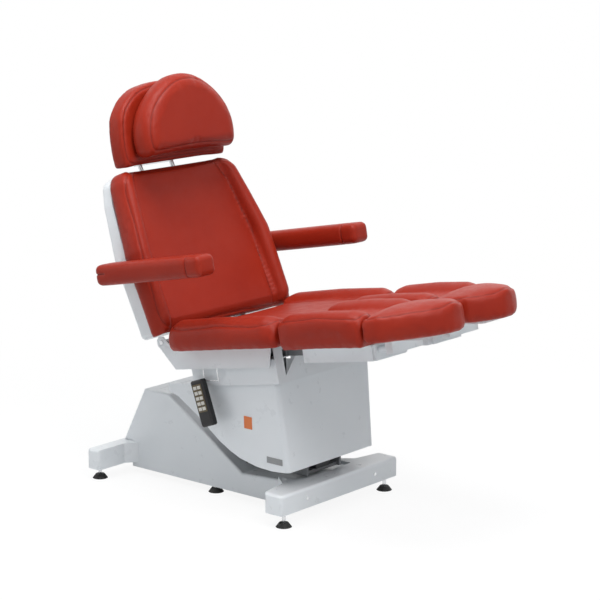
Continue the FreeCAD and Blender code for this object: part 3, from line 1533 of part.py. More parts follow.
def back_cushion():
    start = size("back_cushion_start")
    end = size("back_cushion_end")
    draw = size("cushion_end_draw")
    low = size("back_half_low")
    high = size("back_half_high")
    trough = size("back_cushion_trough")
    stations = (
        (start, low, size("back_crest_low"), trough, draw),
        (start + size("cushion_end_run"), low, size("back_crest_low"), trough, 0),
        ((start + end) / 2, size("back_cushion_half"), size("back_crest_mid"), trough, 0),
        (end - size("cushion_end_run"), high, size("back_crest_high"), size("back_trough_high"), 0),
        (end - size("back_shoulder_run"), (high + size("back_half_top")) / 2, size("back_crest_shoulder"),
         size("back_trough_high"), 0),
        (end, size("back_half_top"), size("back_crest_top"), trough, 0),
    )
    sections = [
        roll_section(
            -along, half, size("back_cushion_rear"), crest - size("back_crest_to_edge") - drawn, crest - drawn,
            dish - drawn, size("back_roll_width"), size("cushion_bulge"))
        for along, half, crest, dish, drawn in stations
    ]
    soft_body("back_cushion", sections, BACK)


def calf_section(along, inner, outer, drawn):
    """A leg rest section with a roll along each side and a trough between."""
    bottom = size("calf_bottom")
    edge = size("calf_edge") - drawn
    crest = size("calf_crest") - drawn
    trough = size("calf_trough") - drawn
    bulge = size("cushion_bulge") / 2
    roll = size("calf_roll_width")
    middle = (bottom + edge) / 2
    centre = (inner + outer) / 2
    near = inner + bulge
    far = outer - bulge
    return Part.Wire([
        Part.LineSegment(V(along, near, bottom), V(along, far, bottom)).toShape(),
        arc(V(along, far, bottom), V(along, outer, middle), V(along, far, edge)),
        arc(V(along, far, edge), V(along, outer - roll / 2, crest), V(along, outer - roll, trough)),
        arc(
            V(along, outer - roll, trough), V(along, centre, trough - bulge / 2),
            V(along, inner + roll, trough)),
        arc(V(along, inner + roll, trough), V(along, inner + roll / 2, crest), V(along, near, edge)),
        arc(V(along, near, edge), V(along, inner, middle), V(along, near, bottom)),
    ])


def mirrored(shape, side):
    return shape if side > 0 else shape.mirror(V(0, 0, 0), V(0, 1, 0))


def calf_cushion(side):
    start = size("calf_start")
    end = size("calf_end")
    draw = size("cushion_end_draw")
    run = size("cushion_end_run")
    stations = (
        (start, draw), (start + run, draw / 4), ((start + end) / 2, 0), (end - run, draw / 4), (end, draw),
    )
    sections = [
        calf_section(along, size("calf_inner") + drawn / 4, size("calf_outer") - drawn / 2, drawn)
        for along, drawn in stations
    ]
    item = DOC.addObject("Part::Feature", f"calf_cushion_{side + 1}")
    item.Shape = mirrored(Part.makeLoft(sections, True, True), side)
    sub_part(mirrored_name("calf_cushion", side), item, LEG)


FOOT_STATIONS = (
    ("foot_station_a", "foot_outer_a", "foot_inner_a"), ("foot_station_b", "foot_outer_b", "foot_inner_b"),
    ("foot_station_c", "foot_outer_c", "foot_inner_c"), ("foot_station_d", "foot_outer_d", "foot_inner_d"),
    ("foot_station_e", "foot_outer_e", "foot_inner_e"), ("foot_station_f", "foot_outer_f", "foot_inner_f"),
    ("foot_station_g", "foot_outer_g", "foot_inner_g"),
)


def foot_section(along, inner, outer, drawn):
    bottom = size("foot_bottom")
    edge = size("foot_edge") - drawn
    crest = size("foot_crest") - drawn
    bulge = size("cushion_bulge") / 2
    middle = (bottom + edge) / 2
    centre = (inner + outer) / 2
    near = inner + bulge
    far = outer - bulge
    return Part.Wire([
        Part.LineSegment(V(along, near, bottom), V(along, far, bottom)).toShape(),
        arc(V(along, far, bottom), V(along, outer, middle), V(along, far, edge)),
        arc(V(along, far, edge), V(along, centre, crest), V(along, near, edge)),
        arc(V(along, near, edge), V(along, inner, middle), V(along, near, bottom)),
    ])


def foot_cushion(side):
    draw = size("cushion_end_draw")
    falls = (draw / 2, 0, 0, 0, draw / 4, draw / 2, draw)
    sections = [
        foot_section(size(along), size(inner), size(outer), fall)
        for (along, outer, inner), fall in zip(FOOT_STATIONS, falls)
    ]
    item = DOC.addObject("Part::Feature", f"foot_cushion_{side + 1}")
    item.Shape = mirrored(Part.makeLoft(sections, True, True), side)
    sub_part(mirrored_name("foot_cushion", side), item, LEG)


def head_pad(label, drop, height, waist, low, shoulder, temple, top, rear, thickness, radius, rear_radius):
    """A headrest pad: outline arcs from its bottom edge to its top, then a rounded thickness."""
    def place(rise, half):
        return (size(drop) - rise, half)
    tall = size(height)
    wide = size(waist)
    arcs = [
        (place(0, low), place(tall * size("pad_waist_share"), wide),
         place(tall * size("pad_shoulder_share"), shoulder)),
        (place(tall * size("pad_shoulder_share"), shoulder), place(tall * size("pad_temple_share"), temple),
         place(tall * size("pad_top_share"), top)),
    ]
    crown_start = V(size(drop) - tall * size("pad_top_share"), top, rear)
    crown_mid = V(size(drop) - tall, 0, rear)
    crown_end = V(size(drop) - tall * size("pad_top_share"), -top, rear)
    edges = [arc(crown_start, crown_mid, crown_end)]
    for start, through, end in arcs:
        for sign in (1, -1):
            edges.append(arc(*[V(x, y * sign, rear) for x, y in (start, through, end)]))
    edges.append(Part.LineSegment(V(size(drop), low, rear), V(size(drop), -low, rear)).toShape())
    face = Part.Face(Part.Wire(Part.__sortEdges__(edges)))
    solid = face.extrude(V(0, 0, thickness))
    front = [edge for edge in solid.Edges if edge.BoundBox.ZMin > rear + thickness - size("side_clearance")]
    item = DOC.addObject("Part::Feature", label)
    solid = solid.makeFillet(radius, front)
    back = [edge for edge in solid.Edges if edge.BoundBox.ZMax < rear + size("side_clearance")]
    item.Shape = solid.makeFillet(rear_radius, back)
    return sub_part(label, item, HEAD)


def headrest_pads():
    head_pad(
        "headrest_cushion", "head_cushion_drop", "head_cushion_height", "head_cushion_half",
        size("head_half_low"), size("head_half_shoulder"), size("head_half_temple"), size("head_half_top"),
        size("head_cushion_rear"), size("head_cushion_thickness"), size("head_cushion_round"),
        size("head_rear_round"))
    rear = size("head_cushion_rear") + size("head_cushion_thickness") + size("pillow_gap")
    head_pad(
        "headrest_pillow", "pillow_drop", "pillow_height", "pillow_half",
        size("pillow_half_low"), size("pillow_half_shoulder"), size("pillow_half_temple"), size("pillow_half_top"),
        rear, size("pillow_thickness"), size("pillow_round"), size("pillow_rear_round"))


# Backrest frame and shell, measured from the hinge; -X runs up the back, +Z to its front

SHELL_FALL = "(back_shell_rear_low - back_shell_rear_high) / (back_shell_end - back_shell_start)"


def shell_inside(place):
    """The level of a standoff's foot on the shell's slanting rear wall."""
    rear = f"(back_shell_rear_low - ({place} - back_shell_start) * {SHELL_FALL})"
    return f"back_shell_sheet - {rear} + standoff_radius * {SHELL_FALL} + running_clearance"


def back_frame():
    low_z = "back_rail_centre - back_rail_height / 2"
    high_z = "back_rail_centre + back_rail_height / 2"
    board_top = "back_cushion_rear - soft_clearance"
    pieces = []
    for side in (-1, 1):
        near = "back_rail_half - back_rail_width / 2"
        far = "back_rail_half + back_rail_width / 2"
        low, high = (near, far) if side > 0 else (f"-({far})", f"-({near})")
        pieces.append(block(f"back_rail_{side + 1}", "-back_rail_end", "0 * back_rail_end", low, high, low_z, high_z))
        for place in ("back_member_low", "back_member_high"):
            pieces.append(rod(
                f"standoff_{side + 1}_{place}", "z", "standoff_radius", shell_inside(place), "back_rail_centre",
                (f"-{place}", f"{side} * back_rail_half")))
    span = "back_rail_half"
    for place in ("back_member_low", "back_member_high", "arm_pivot_up"):
        pieces.append(block(
            f"member_at_{place}", f"-{place} - back_member_width / 2", f"-{place} + back_member_width / 2",
            f"-{span}", span, low_z, high_z))
    pieces.append(block(
        "back_board", "-back_board_high", "-back_board_low", "-back_board_half", "back_board_half", high_z,
        board_top))
    pieces.append(rod("back_tube", "y", "back_tube_radius", "-back_tube_half", "back_tube_half", ("0", "0")))
    turn = size("back_lean") + size("back_lever_rest_angle") - size("seat_pitch") - size("quarter_turn")
    pieces.append(crank("back_crank", "back_lever_length", turn, "back_drive_side"))
    blank = weld("back_frame_blank", pieces)
    reach = "back_tube_half + cut_overrun"
    tools = [rod("back_tube_bore", "y", "hinge_pin_radius + running_clearance", f"-({reach})", reach, ("0", "0"))]
    for side in (-1, 1):
        tools.append(rod(
            f"post_bore_{side + 1}", "x", "post_radius + running_clearance", "-back_cushion_end",
            "-back_cushion_end + post_inside + post_travel", (f"{side} * post_half", "post_centre")))
    sub_part("back_frame", cut("back_frame", blank, tools), BACK)


def back_shell():
    body = new_body("back_shell_tray")
    middle = "(back_shell_start + back_shell_end) / 2"
    halves = (
        ("-back_shell_end", "back_shell_half_top"),
        ("back_shell_shoulder * 2 - back_shell_end", "back_shell_half_high"),
        (f"-{middle}", "back_shell_half"), ("-back_shell_start", "back_shell_half_low"),
    )
    outline = [(along, f"-{half}") for along, half in halves]
    outline += [(along, half) for along, half in reversed(halves)]
    front = "back_cushion_rear - back_board_reveal"
    shape = pad(
        body, sketch(body, "XY_Plane", outline, lift="-back_shell_rear_low"), f"back_shell_rear_low + {front}", False)
    under = "-back_shell_rear_low - cut_overrun"
    slant = [
        ("-back_shell_start", "-back_shell_rear_low"), ("-back_shell_end", "-back_shell_rear_high"),
        ("-back_shell_end - cut_overrun", "-back_shell_rear_high"), ("-back_shell_end - cut_overrun", under),
        ("-back_shell_start", under),
    ]
    shape = pocket(body, sketch(body, "XZ_Plane", slant), "back_shell_half * 3")
    upright = V(0, 0, 1)
    corner_top = -size("back_shell_end") + size("side_clearance")
    corner_low = -size("back_shell_start") - size("side_clearance")
    shape = round_edges(
        body, shape, "back_shell_corner",
        lambda edge: is_along(edge, upright) and edge.BoundBox.XMax < corner_top)
    shape = round_edges(
        body, shape, "back_shell_heel_radius",
        lambda edge: is_along(edge, upright) and edge.BoundBox.XMin > corner_low)
    fall = size("back_shell_rear_low") - size("back_shell_rear_high")
    fall /= size("back_shell_end") - size("back_shell_start")

    def on_rear(edge):
        ends = [vertex.Point for vertex in edge.Vertexes]
        rears = [-size("back_shell_rear_low") - fall * (point.x + size("back_shell_start")) for point in ends]
        return all(abs(point.z - rear) < size("running_clearance") for point, rear in zip(ends, rears))

    shape = round_edges(body, shape, "back_shell_edge_radius", on_rear)
    faces = shape.Shape.Faces
    top = max(range(len(faces)), key=lambda number: faces[number].BoundBox.ZMin)
    shell = body.newObject("PartDesign::Thickness", "back_shell_wall")
    shell.Base = (shape, [f"Face{top + 1}"])
    shell.Reversed = True
    tie(shell, "Value", "back_shell_sheet")
    tools = []
    for side in (-1, 1):
        centre = f"{side} * back_rail_half"
        tools.append(block(
            f"rail_window_{side + 1}", "-back_shell_start - cut_overrun / 2", "cut_overrun - back_shell_start",
            f"{centre} - shell_window_half", f"{centre} + shell_window_half",
            "back_rail_centre - shell_window_rise", "back_rail_centre + shell_window_rise"))
        tools.append(rod(
            f"post_window_{side + 1}", "x", "post_radius + side_clearance", "-back_shell_end - cut_overrun",
            "cut_overrun / 2 - back_shell_end", (f"{side} * post_half", "post_centre")))
    reach = "back_shell_half + cut_overrun"
    tools.append(rod(
        "shaft_window", "y", "armrest_shaft_radius + side_clearance", f"-({reach})", reach,
        ("-arm_pivot_up", "arm_pivot_out")))
    sub_part("back_shell", cut("back_shell", body, tools), BACK)


def armrest_shafts():
    """Shafts from the frame's middle member to the armrests, with a collar outside the shell."""
    shafts = []
    place = ("-arm_pivot_up", "arm_pivot_out")
    for side in (-1, 1):
        near = "back_rail_half + back_rail_width / 2"
        far = "armrest_inner_half + armrest_shaft_reach"
        low, high = (near, far) if side > 0 else (f"-({far})", f"-({near})")
        shaft = rod(f"shaft_{side + 1}", "y", "armrest_shaft_radius", low, high, place)
        near = "back_shell_half + side_clearance"
        far = "armrest_inner_half - side_clearance"
        low, high = (near, far) if side > 0 else (f"-({far})", f"-({near})")
        collar = rod(f"collar_{side + 1}", "y", "armrest_collar_radius", low, high, place)
        shafts.append(weld(f"collared_shaft_{side + 1}", [shaft, collar]))
    sub_part("armrest_shafts", group("armrest_shafts", shafts), BACK)


def armrest(side):
    """A rounded bar that swings on its shaft; measured from the shaft."""
    name = mirrored_name("armrest", side)
    body = new_body(name + "_bar")
    low = "armrest_drop - armrest_height"
    outline = [
        ("-armrest_tail", low), ("armrest_length - armrest_tail", low),
        ("armrest_length - armrest_tail", "armrest_drop"), ("-armrest_tail", "armrest_drop"),
    ]
    centre = "armrest_inner_half + armrest_width / 2"
    shape = pad(body, sketch(body, "XZ_Plane", outline, lift=f"{-side} * ({centre})"), "armrest_width")
    round_edges(body, shape, "armrest_edge_radius", lambda edge: True)
    inner = f"{side} * armrest_inner_half"
    far = "armrest_inner_half + armrest_shaft_reach + side_clearance"
    near = "armrest_inner_half - cut_overrun"
    low, high = (near, far) if side > 0 else (f"-({far})", f"-({near})")
    bore = rod(name + "_bore", "y", "armrest_shaft_radius + running_clearance", low, high, ("0", "0"))
    level = "armrest_drop - armrest_height / 2"
    slit = block(
        name + "_slit", "-armrest_tail - cut_overrun", "armrest_slit_depth - armrest_tail",
        f"{inner} - cut_overrun" if side > 0 else f"{inner} - armrest_width - cut_overrun",
        f"{inner} + armrest_width + cut_overrun" if side > 0 else f"{inner} + cut_overrun",
        f"{level} - armrest_slit_height / 2", f"{level} + armrest_slit_height / 2")
    sub_part(name, cut(name, body, [bore, slit]), ARMREST)


# Headrest posts and plate

def headrest_posts():
    top = "(post_top_gap - head_hinge_up)"
    foot = "-back_cushion_end + post_inside"
    pieces = []
    for side in (-1, 1):
        pieces.append(rod(
            f"post_{side + 1}", "x", "post_radius", top, foot, (f"{side} * post_half", "post_centre")))
        centre = f"{side} * post_lug_centre"
        pieces.append(block(
            f"post_lug_{side + 1}", "-head_hinge_up - post_lug_half_height", "-head_hinge_up + post_lug_foot",
            f"{centre} - post_lug_thickness / 2", f"{centre} + post_lug_thickness / 2", "post_centre",
            "head_hinge_out + post_lug_half_height"))
    pieces.append(block(
        "post_head", top, f"{top} + post_head_height", "-post_head_half", "post_head_half",
        "post_centre - post_head_height / 2", "post_centre + post_head_height / 2"))
    span = "post_lug_centre + post_lug_thickness / 2"
    pieces.append(rod(
        "head_pin", "y", "head_pin_radius", f"-({span})", span, ("-head_hinge_up", "head_hinge_out")))
    sub_part("headrest_posts", weld("headrest_posts", pieces), BACK)


def head_plate():
    front = "head_cushion_rear - soft_clearance"
    pieces = [
        rod("head_tube", "y", "head_tube_radius", "-head_tube_half", "head_tube_half", ("0", "0")),
        block(
            "head_sheet", "-head_plate_top", "head_tube_radius", "-head_plate_half", "head_plate_half",
            f"{front} - head_plate_thickness", front),
        block(
            "head_neck", "-head_tube_radius", "head_tube_radius", "-head_tube_half", "head_tube_half",
            "0 * head_tube_radius", f"{front} - head_plate_thickness / 2"),
    ]
    reach = "head_tube_half + cut_overrun"
    bore = rod("head_bore", "y", "head_pin_radius + running_clearance", f"-({reach})", reach, ("0", "0"))
    sub_part("head_plate", cut("head_plate", weld("head_plate_blank", pieces), [bore]), HEAD)


# Leg rests, each measured from its hinge along the leg

def leg_frame(side):
    """The folded box under the calf cushion, its board, its slide housing and its hinge lugs."""
    name = mirrored_name("leg_frame", side)

    def span(near, far):
        return (near, far) if side > 0 else (f"-({far})", f"-({near})")

    low, high = span("leg_box_inner", "leg_box_outer")
    bottom = "leg_box_top - leg_box_height"
    shell = block(name + "_outer", "leg_box_start", "leg_box_end", low, high, bottom, "leg_box_top")
    low, high = span("leg_box_inner + leg_box_sheet", "leg_box_outer - leg_box_sheet")
    hollow = block(
        name + "_hollow", "leg_box_start + leg_box_sheet", "leg_box_end - leg_box_sheet", low, high,
        f"{bottom} - cut_overrun", "leg_box_top - leg_box_sheet")
    pieces = [cut(name + "_box", shell, [hollow])]
    low, high = span("leg_box_inner - leg_board_margin", "leg_box_outer + leg_board_margin * 2")
    pieces.append(block(
        name + "_board", "leg_board_margin", "leg_board_end", low, high, "leg_box_top",
        "calf_bottom - soft_clearance"))
    low, high = span("slide_box_inner", "slide_box_outer")
    pieces.append(block(
        name + "_slide", "slide_box_start - leg_box_sheet / 2", "slide_box_end", low, high,
        bottom, "leg_box_top"))
    for place in (-1, 1):
        centre = f"{side} * leg_ear_half + {place} * (hinge_ear_thickness / 2 + leg_lug_gap + leg_lug_thickness / 2)"
        start = f"{centre} - leg_lug_thickness / 2"
        end = f"{centre} + leg_lug_thickness / 2"
        pieces.append(rod(f"{name}_eye_{place + 1}", "y", "leg_ear_radius", start, end, ("0", "0")))
        pieces.append(block(
            f"{name}_lug_{place + 1}", "0 * leg_box_start", "leg_box_start + leg_box_sheet / 2", start, end,
            "-leg_ear_radius", "leg_ear_radius"))
    blank = weld(name + "_blank", pieces)
    low, high = span("leg_box_inner", "leg_box_outer")
    tools = [rod(name + "_eye_bore", "y", "leg_pin_radius + running_clearance", low, high, ("0", "0"))]
    for place in (-1, 1):
        centre = f"{side} * slide_centre + {place} * slide_rod_half"
        tools.append(rod(
            f"{name}_slide_bore_{place + 1}", "x", "slide_rod_radius + running_clearance",
            "slide_box_start - cut_overrun", "slide_box_end + cut_overrun", (centre, "slide_rod_level")))
    sub_part(name, cut(name, blank, tools), LEG)


def foot_board(side):
    """The sliding board under the foot cushion on two rods."""
    name = mirrored_name("foot_board", side)
    centre = f"{side} * slide_centre"
    top = "foot_bottom - soft_clearance"
    inner = f"{side} * (slide_centre - foot_board_half)"
    outer = f"{side} * (slide_centre + foot_board_half)"
    cropped = f"{side} * (slide_centre + foot_board_half - foot_board_corner)"
    outline = [
        ("foot_board_start", inner), ("foot_board_end", inner), ("foot_board_end", cropped),
        ("foot_board_end - foot_board_corner", outer), ("foot_board_start", outer),
    ]
    if side < 0:
        outline.reverse()
    sheet = plate(
        name + "_sheet", "XY_Plane", outline, "foot_board_thickness", (), f"{top} - foot_board_thickness", False)
    low = f"{centre} - foot_board_half"
    high = f"{centre} + foot_board_half"
    pieces = [
        sheet,
        block(
            name + "_bracket", "foot_bracket_start", "foot_bracket_start + foot_bracket_depth", low, high,
            "slide_rod_level - slide_rod_radius - foot_bracket_bottom", f"{top} - foot_board_thickness / 2"),
    ]
    for place in (-1, 1):
        pieces.append(rod(
            f"{name}_rod_{place + 1}", "x", "slide_rod_radius", "slide_rod_start",
            "foot_bracket_start + foot_bracket_depth / 2",
            (f"{centre} + {place} * slide_rod_half", "slide_rod_level")))
    sub_part(name, weld(name, pieces), LEG)


# Hand control, measured from its middle; its keypad faces -Y

HANDSET = FreeCAD.Placement(
    HINGE + V(size("handset_forward"), -size("handset_half"), -size("handset_below")),
    turn_y(-size("handset_lean")))


def key_places():
    places = []
    columns = int(size("key_columns"))
    rows = int(size("key_rows"))
    for row in range(rows):
        for column in range(columns):
            across = f"({column} - (key_columns - 1) / 2) * key_pitch_across"
            along = f"keypad_rise - ({row} - (key_rows - 1) / 2) * key_pitch_along"
            places.append((across, along))
    return places


def key_block(name, place, grow, near, far):
    across, along = place
    return block(
        name, f"{across} - key_width / 2 - {grow}", f"{across} + key_width / 2 + {grow}", near, far,
        f"{along} - key_length / 2 - {grow}", f"{along} + key_length / 2 + {grow}")


def hand_control():
    face = "-handset_depth / 2"
    body = new_body("handset_case")
    outline = [
        ("-handset_width / 2", "-handset_length / 2"), ("handset_width / 2", "-handset_length / 2"),
        ("handset_width / 2", "handset_length / 2"), ("-handset_width / 2", "handset_length / 2"),
    ]
    shape = pad(body, sketch(body, "XZ_Plane", outline), "handset_depth")
    round_edges(body, shape, "handset_edge_radius", lambda edge: True)
    frame = block(
        "bezel_blank", "-keypad_width / 2", "keypad_width / 2", f"{face} - keypad_thickness", face,
        "keypad_rise - keypad_length / 2", "keypad_rise + keypad_length / 2")
    wells = []
    windows = []
    for number, place in enumerate(key_places()):
        wells.append(key_block(f"key_well_{number}", place, "key_gap", f"{face} - cut_overrun", f"{face} + key_well"))
        windows.append(key_block(
            f"key_window_{number}", place, "key_gap", f"{face} - cut_overrun", f"{face} + cut_overrun"))
        inner = f"{face} + key_well - key_travel - key_gap * 2"
        key = key_block(f"key_stock_{number}", place, "0", f"{inner} - key_height", inner)
        sub_part(f"handset_key_{number + 1}", group(f"key_cap_{number}", [key]), HANDSET)
    sub_part("handset_body", cut("handset_body", body, wells), HANDSET)
    sub_part("keypad_bezel", cut("keypad_bezel", frame, windows), HANDSET)


def handset_hook():
    """Two wires from the side panel's lower edge, joined by a rung behind the hand control."""
    across = "-(side_panel_half - hook_radius)"
    low = "-side_panel_bottom - hook_reach"
    pieces = [
        rod(f"hook_wire_{along}", "z", "hook_radius", f"{low} - hook_radius", "-side_panel_bottom", (along, across))
        for along in ("hook_first_along", "hook_second_along")
    ]
    pieces.append(rod(
        "hook_rung", "x", "hook_rung_radius", "hook_first_along", "hook_second_along", (across, low)))
    sub_part("handset_hook", weld("handset_hook", pieces), SEAT)


# Building the chair

def build():
    levelling_feet()
    front_crossbar()
    rear_crossbar()
    base_housing()
    base_chassis()
    upper_lift_arm()
    lower_lift_arm()
    pivot_pins()
    lift_drive()
    carriage_frame()
    tilt_drive()
    shroud()
    blank_plates()
    seat_frame()
    side_panels()
    seat_skirt()
    hinge_pins()
    back_drive()
    seat_cushion()
    back_frame()
    back_shell()
    back_cushion()
    armrest_shafts()
    headrest_posts()
    head_plate()
    headrest_pads()
    hand_control()
    handset_hook()
    for side in (-1, 1):
        armrest(side)
        leg_frame(side)
        calf_cushion(side)
        foot_board(side)
        foot_cushion(side)
    DOC.recompute()


def check_and_export():
    for item in DOC.Objects:
        if "Invalid" in item.State or "Error" in item.State:
            raise RuntimeError(f"{item.Name} is {item.State}")
    os.makedirs("parts", exist_ok=True)
    for item in SUB_PARTS:
        if item.Shape.isNull() or not item.Shape.isValid():
            raise RuntimeError(f"{item.Label} has no valid shape")
        item.Shape.exportStep(f"parts/{item.Label}.step")
        box = item.Shape.BoundBox
        print(
            f"{item.Label:22s} solids {len(item.Shape.Solids):2d} volume {item.Shape.Volume / 1000:9.1f} cm3"
            f"  x {box.XMin:7.1f} {box.XMax:7.1f}  y {box.YMin:7.1f} {box.YMax:7.1f}"
            f"  z {box.ZMin:7.1f} {box.ZMax:7.1f}")
    for name, place in (
            ("upper pivot", UPPER_PIVOT), ("lower pivot", LOWER_PIVOT), ("upper front", UPPER_FRONT),
            ("lower front", LOWER_FRONT), ("tilt axle", AXLE), ("back hinge", HINGE), ("leg hinge", LEG_HINGE),
            ("armrest", ARM_HINGE), ("head hinge", HEAD_HINGE), ("tilt pin", TILT_PIN), ("handset", HANDSET.Base)):
        print(f"{name:12s} {place.x:9.3f} {place.y:9.3f} {place.z:9.3f}")


build()
check_and_export()
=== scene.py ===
import json
import math

import bmesh
import bpy
import numpy as np
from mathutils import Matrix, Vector
from mathutils.bvhtree import BVHTree


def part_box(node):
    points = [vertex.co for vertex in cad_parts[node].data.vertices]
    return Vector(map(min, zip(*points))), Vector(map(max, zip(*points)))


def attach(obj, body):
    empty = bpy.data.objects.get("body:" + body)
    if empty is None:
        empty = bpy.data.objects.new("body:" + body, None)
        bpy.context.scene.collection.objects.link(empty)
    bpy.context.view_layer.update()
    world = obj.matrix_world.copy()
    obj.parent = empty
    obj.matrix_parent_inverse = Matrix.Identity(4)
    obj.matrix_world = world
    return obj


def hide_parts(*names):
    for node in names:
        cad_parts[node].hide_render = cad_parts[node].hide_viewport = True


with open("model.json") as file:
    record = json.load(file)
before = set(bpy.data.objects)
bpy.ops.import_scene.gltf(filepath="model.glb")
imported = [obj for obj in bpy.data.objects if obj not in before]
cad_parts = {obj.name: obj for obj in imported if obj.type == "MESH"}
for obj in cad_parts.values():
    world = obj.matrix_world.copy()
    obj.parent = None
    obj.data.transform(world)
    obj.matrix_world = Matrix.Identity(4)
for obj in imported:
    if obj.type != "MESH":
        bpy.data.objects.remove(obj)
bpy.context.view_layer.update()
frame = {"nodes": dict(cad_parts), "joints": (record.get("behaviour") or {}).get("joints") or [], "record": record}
SCENE = bpy.context.scene
SCENE.view_settings.view_transform = "Standard"

# Lengths are in metres, and powers in watts


def with_values(target, **values):
    for key, value in values.items():
        setattr(target, key, value)
    return target


def new_object(name, data):
    obj = bpy.data.objects.new(name, data)
    SCENE.collection.objects.link(obj)
    return obj


def aimed(start, aim):
    """The rotation of a camera or a lamp that looks from one place at another."""
    return (Vector(aim) - Vector(start)).to_track_quat("-Z", "Y").to_euler()


# Camera, solved from the chair's own edges in the photo

CAMERA_AT = Vector((3.7969, -4.5059, 1.8591))
CAMERA_AIM = Vector((-0.0136, 0.0, 0.6164))
LENS_MM = 121.516
SENSOR_MM = 36.0
CLIP_END = 100.0


def make_camera():
    data = with_values(
        bpy.data.cameras.new("camera"), lens=LENS_MM, sensor_width=SENSOR_MM,
        sensor_fit="HORIZONTAL", clip_end=CLIP_END)
    camera = new_object("camera", data)
    camera.location = CAMERA_AT
    camera.rotation_euler = aimed(CAMERA_AT, CAMERA_AIM)
    SCENE.camera = camera


make_camera()


# Places of the padded parts, from their joints

# Where the rays that look for a pad's face start, from its joint
OVER_LYING_PAD = 0.3
AHEAD_OF_UPRIGHT_PAD = 0.4


class Place:
    """A pad's own ways: along it, across it (the frame's y) and out of it."""

    def __init__(self, joint, along, out, ray_start):
        place = Vector(next(j["pos_m"] for j in frame["joints"] if j["name"] == joint))
        self.origin = np.array((place[0], 0.0, place[2]), float)
        self.along = np.array(along, float)
        self.out = np.array(out, float)
        self.ray_start = ray_start

    def point(self, along, across, out):
        return self.origin + self.along * along + np.array((0.0, across, 0.0)) + self.out * out

    def local(self, obj):
        """The points of an object's mesh as distances along, across and out."""
        offset = mesh_points(obj.data) - self.origin
        return np.stack((offset @ self.along, offset[:, 1], offset @ self.out), axis=1)

    def rays(self, pairs):
        """Rays that fall on the pad's face, at distances along and across it."""
        return [
            (self.point(along, across, self.ray_start), -self.out) for along, across in pairs]


def pitched(joint, degrees):
    """The place of a lying pad, whose front end is raised."""
    turn = math.radians(degrees)
    return Place(
        joint, (math.cos(turn), 0, math.sin(turn)), (-math.sin(turn), 0, math.cos(turn)),
        OVER_LYING_PAD)


def leaning(joint, degrees):
    """The place of an upright pad, whose upper end leans back."""
    turn = math.radians(degrees)
    return Place(
        joint, (-math.sin(turn), 0, math.cos(turn)), (math.cos(turn), 0, math.sin(turn)),
        AHEAD_OF_UPRIGHT_PAD)


SEAT = pitched("recline", 10)
LEG = pitched("leg_left_fold", 10)
BACK = leaning("recline", 27)
HEAD = leaning("head_tilt", 10)
ARM = pitched("armrest_left_swing", 11)


# Materials

# A noise keeps mostly between these values
NOISE_LOW = 0.3
NOISE_HIGH = 0.7


class Nodes:
    """A node tree, with short ways to add nodes and to feed their sockets."""

    def __init__(self, owner):
        owner.use_nodes = True
        self.tree = owner.node_tree

    def feed(self, socket, value):
        """Links an output, or the first output of a node, or sets the socket's own value."""
        if isinstance(value, bpy.types.Node):
            value = value.outputs[0]
        if isinstance(value, bpy.types.NodeSocket):
            self.tree.links.new(value, socket)
        else:
            socket.default_value = (*value, 1.0) if socket.type == "RGBA" else value

    def add(self, kind, sockets=None, **settings):
        node = with_values(self.tree.nodes.new("ShaderNode" + kind), **settings)
        for key, value in (sockets or {}).items():
            self.feed(node.inputs[key], value)
        return node


class Paint(Nodes):
    """A material with its shader and its textures, in the object's own coordinates."""

    def __init__(self, name):
        self.material = bpy.data.materials.new(name)
        super().__init__(self.material)
        self.shader = self.tree.nodes["Principled BSDF"]
        self.place = self.add("TexCoord").outputs["Object"]

    def noise(self, scale, detail=3.0, roughness=0.5, vector=None):
        return self.add("TexNoise", {
            "Scale": scale, "Detail": detail, "Roughness": roughness,
            "Vector": vector or self.place}).outputs["Fac"]

    def cells(self, scale, feature="F1"):
        return self.add("TexVoronoi", {
            "Scale": scale, "Vector": self.place}, feature=feature).outputs["Distance"]

    def span(self, value, low, high, start, end):
        """Maps start to low and end to high."""
        return self.add("MapRange", {
            "From Min": start, "From Max": end, "To Min": low, "To Max": high,
            "Value": value}).outputs["Result"]

    def blend(self, factor, first, second):
        node = self.add("Mix", {"Factor": factor, 6: first, 7: second}, data_type="RGBA")
        return node.outputs[2]

    def patches(self, first, second, noise, start=NOISE_LOW, end=NOISE_HIGH):
        """Two tones that change softly into each other."""
        return self.blend(self.span(noise, 0, 1, start, end), first, second)

    def sum(self, first, second, share):
        """The first value and a share of the second."""
        node = self.add("Math", {0: second, 1: share, 2: first}, operation="MULTIPLY_ADD")
        return node.outputs["Value"]

    def shade(self, **values):
        """Feeds the shader's sockets, with _ for the spaces in their names."""
        for key, value in values.items():
            self.feed(self.shader.inputs[key.replace("_", " ")], value)

    def rough(self, texture, limits):
        self.shade(Roughness=self.span(texture, *limits, NOISE_LOW, NOISE_HIGH))

    def bump(self, height, distance, strength):
        self.shade(Normal=self.add("Bump", {
            "Distance": distance, "Strength": strength, "Height": height}))


